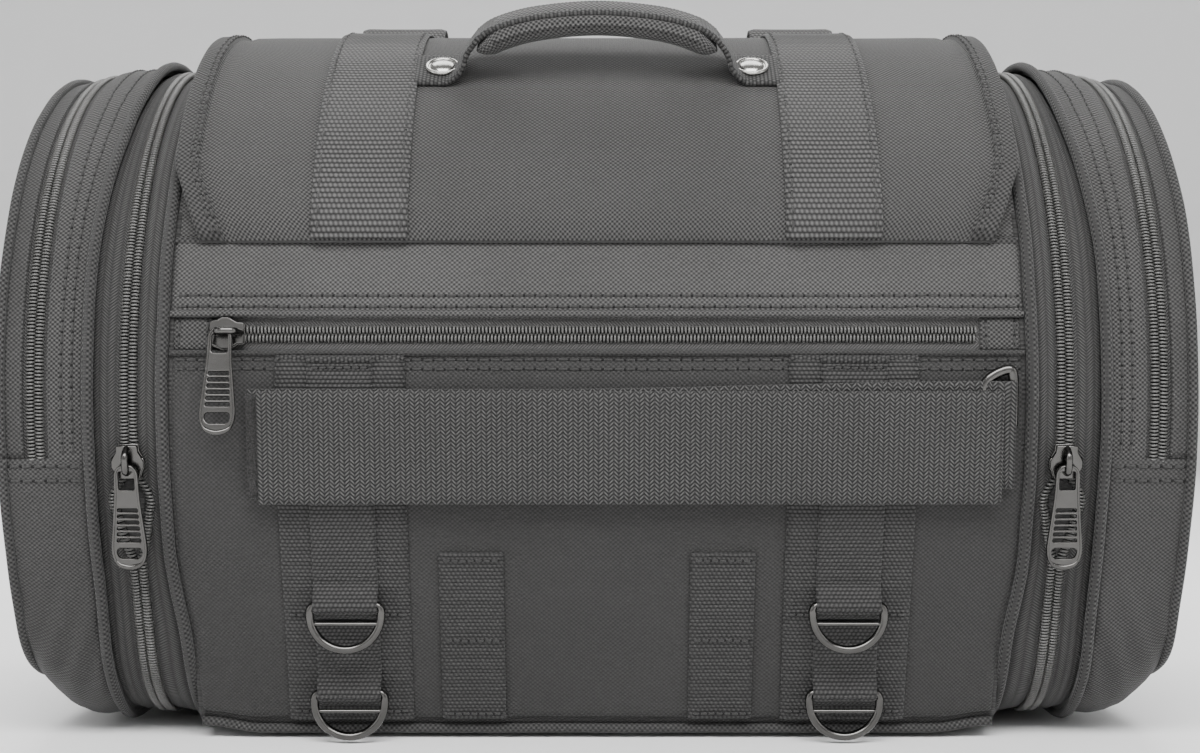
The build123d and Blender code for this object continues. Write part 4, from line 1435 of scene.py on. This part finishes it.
# ---------------------------------------------------------------- zip sliders and pulls
def cut_plate(outline, holes, thick, bevel):
    """Flat plate with holes and rounded edges, as points and faces round the middle of its thickness."""
    curve = bpy.data.curves.new("plate", "CURVE")
    curve.dimensions = "2D"
    curve.fill_mode = "BOTH"
    curve.extrude = thick / 2 - bevel
    curve.bevel_depth = bevel
    curve.bevel_resolution = 2
    curve.offset = -bevel
    for loop in (outline, *holes):
        spline = curve.splines.new("POLY")
        spline.points.add(len(loop) - 1)
        spline.use_cyclic_u = True
        for point, (x, y) in zip(spline.points, loop):
            point.co = (x, y, 0, 1)
    holder = bpy.data.objects.new("plate", curve)
    bpy.context.scene.collection.objects.link(holder)
    mesh = bpy.data.meshes.new_from_object(holder.evaluated_get(bpy.context.evaluated_depsgraph_get()))
    verts = [v.co.copy() for v in mesh.vertices]
    faces = [tuple(p.vertices) for p in mesh.polygons]
    bpy.data.objects.remove(holder)
    bpy.data.curves.remove(curve)
    bpy.data.meshes.remove(mesh)
    return verts, faces


def both_sides(halves):
    """Outline from (half width, distance down) points, given from the top to the bottom on one side."""
    right = [(w, -t) for w, t in halves]
    left = [(-w, -t) for w, t in reversed(halves) if w > 0.01]
    return right + left


def rounded_slot(cx, cy, half_w, half_h, corner, sag=0.0):
    points = []
    for qx, qy, start in ((1, 1, 0), (-1, 1, 90), (-1, -1, 180), (1, -1, 270)):
        for i in range(5):
            a = math.radians(start + 90 * i / 4)
            x = cx + qx * (half_w - corner) + corner * math.cos(a)
            y = cy + qy * (half_h - corner) + corner * math.sin(a)
            points.append((x, y - sag * (1 - (x / half_w) ** 2)))
    return points


PULL_SHAPE = (
    (0.0, 0.0), (1.8, 0.15), (3.2, 0.9), (4.1, 2.2), (4.45, 4.0), (4.6, 9.0), (4.85, 13.0), (5.4, 18.0), (6.1, 24.0),
    (6.7, 29.0), (6.85, 31.5), (6.6, 34.0), (5.7, 36.3), (4.2, 37.8), (2.2, 38.7), (0.0, 38.9),
)


def wall_normal(pivot):
    """Direction straight out of the roll's wall at a pivot."""
    if pivot.z < CENTRE_Z - RADIUS * math.sin(LEAN):
        return Vector((0, math.copysign(math.cos(LEAN), pivot.y), -math.sin(LEAN)))
    return Vector((0, pivot.y, pivot.z - CENTRE_Z)).normalized()


def make_pull(name):
    """Pull tab: window for the slider's bridge, six slots, a finger hole and a thick lip."""
    pivot = joint_place(f"{name}_pull_swing")
    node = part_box(f"{name}_zip_pull")
    middle = (Vector(node[0]) + Vector(node[1])) / 2 / MM
    down = Vector((0, middle.y - pivot.y, middle.z - pivot.z)).normalized()
    if name == "front":  # it hangs clear of the mounting strap that it is drawn over
        down.rotate(Quaternion((1, 0, 0), math.radians(-PULL_CLEAR)))
    out = down.cross(Vector((1, 0, 0))).normalized()
    out = out if out.y * pivot.y > 0 else -out
    side = out.cross(-down).normalized() * -1
    holes = [rounded_slot(0, -5.9, 3.1, 3.5, 0.9)]
    holes += [rounded_slot(0, -16.9 - 2.25 * i, 4.0 + 0.14 * i, 0.72, 0.6) for i in range(6)]
    holes.append(rounded_slot(0, -32.6, 4.9, 2.0, 1.9, 0.7))
    mesh = Mesh()
    outline = both_sides(PULL_SHAPE)

    def place(x, y, h):
        return pivot + side * x - down * (y * PULL_STRETCH + PULL_TOP) + out * h

    verts, faces = cut_plate(outline, holes, 1.7, 0.35)
    mesh.add([place(v.x, v.y, v.z) for v in verts], faces, [(v.x, v.y) for v in verts])
    rim = smooth_curve([place(w * 0.93, -0.35 + y * 0.982, 0.75) for w, y in outline], 3)
    tube(mesh, rim, 0.5, 8, closed=True, start=out)
    end = ((5.6, 35.9), (3.9, 37.4), (0, 38.3), (-3.9, 37.4), (-5.6, 35.9))
    lip = smooth_curve([place(w * 0.96, -t, 0.5) for w, t in end], 6)
    tube(mesh, lip, 1.15, 10, start=out, taper=lambda t: 0.45 + 0.55 * math.sin(math.pi * t))
    mesh.make(f"{name}_pull_tab", "gunmetal", [f"{name}_zip_pull"], body=f"{name}_pull")


SLIDER_SHAPE = (
    (3.6, 0.0), (4.1, 0.3), (4.2, 2.6), (5.6, 5.0), (6.2, 6.2), (6.2, 8.6), (5.3, 10.2), (4.8, 12.6), (4.2, 13.2),
)


def make_slider(name):
    """Slider: shouldered top plate, side flanges and the bridge that carries the pull."""
    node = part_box(f"{name}_zip_slider")
    low, high = Vector(node[0]) / MM, Vector(node[1]) / MM
    pivot = joint_place(f"{name}_pull_swing")
    out = wall_normal(pivot)
    if name == "front":
        along = Vector((-1, 0, 0))
    else:
        along = Vector((0, -out.z, out.y))
        along = along if along.z < 0 else -along
    side = along.cross(out).normalized()
    middle = (low + high) / 2
    height = (pivot - middle).dot(out)
    base = middle + out * height
    base = base - along * (base - pivot).dot(along)
    surface = -(5.4 if name != "front" else 7.0)
    start = base + along * -8.2
    mesh = Mesh()

    def place(across, t, h):
        return start + along * t + side * across + out * (surface + h)

    outline = both_sides(SLIDER_SHAPE)
    for h, thick in ((2.3, 1.5), (-0.4, 1.0)):
        verts, faces = cut_plate(outline, [], thick, 0.4)
        mesh.add([place(v.x, -v.y, v.z + h) for v in verts], faces, [(v.x, v.y) for v in verts])
    for edge in (-1, 1):
        flange = [place(edge * w * 0.93, t, 1.5) for w, t in SLIDER_SHAPE[3:-1]]
        tube(mesh, flange, 0.9, 8, start=out)
    rise = -surface + 1.6
    arch = (
        (1.2, 2.2), (1.5, 3.6), (3.2, rise - 0.5), (6.5, rise),
        (9.2, rise - 0.6), (10.4, rise - 2.4), (10.5, 2.6),
    )
    bridge = smooth_curve([place(0, t, h) for t, h in arch], 6)
    tube(mesh, bridge, 1.25, 10, start=side, flat=1.1)
    mesh.make(f"{name}_slider_body", "gunmetal", [f"{name}_zip_slider"], body=f"{name}_slider")


# ---------------------------------------------------------------- hardware kept from the design
KEPT_SLOTS = ("gunmetal", "buckle_plastic", "board", "webbing")


def dress_hardware():
    """CAD hardware keeps its shape and gets rounded edges and a finish of its own."""
    for row in frame["record"]["subparts"]:
        node = bpy.data.objects.get(row["node"])
        if node is None or node.hide_render or row["material_slot"] not in KEPT_SLOTS:
            continue
        for holder in node.material_slots:
            holder.material = materials[row["material_slot"]]
        bevel = node.modifiers.new("rounded", "BEVEL")
        bevel.width = 0.35 * MM
        bevel.segments = 2
        bevel.limit_method = "ANGLE"
        bevel.angle_limit = math.radians(40)
        bevel.harden_normals = True


make_camera()
make_floor()
make_lights()
make_materials()
make_body_panels()
make_front_zip()
for end in (-1, 1):
    make_rings(end)
    make_pocket(end)
make_pocket_insides()
make_flap()
make_handle()
make_front_webbing()
for row_label in ("left", "right"):
    for row_level in RING_BARS:
        make_ring(row_label, row_level)
make_mount_strap()
for zip_name in ("front", "left_ring", "right_ring", "left_pocket", "right_pocket"):
    make_slider(zip_name)
    make_pull(zip_name)
make_stitches()
dress_hardware()
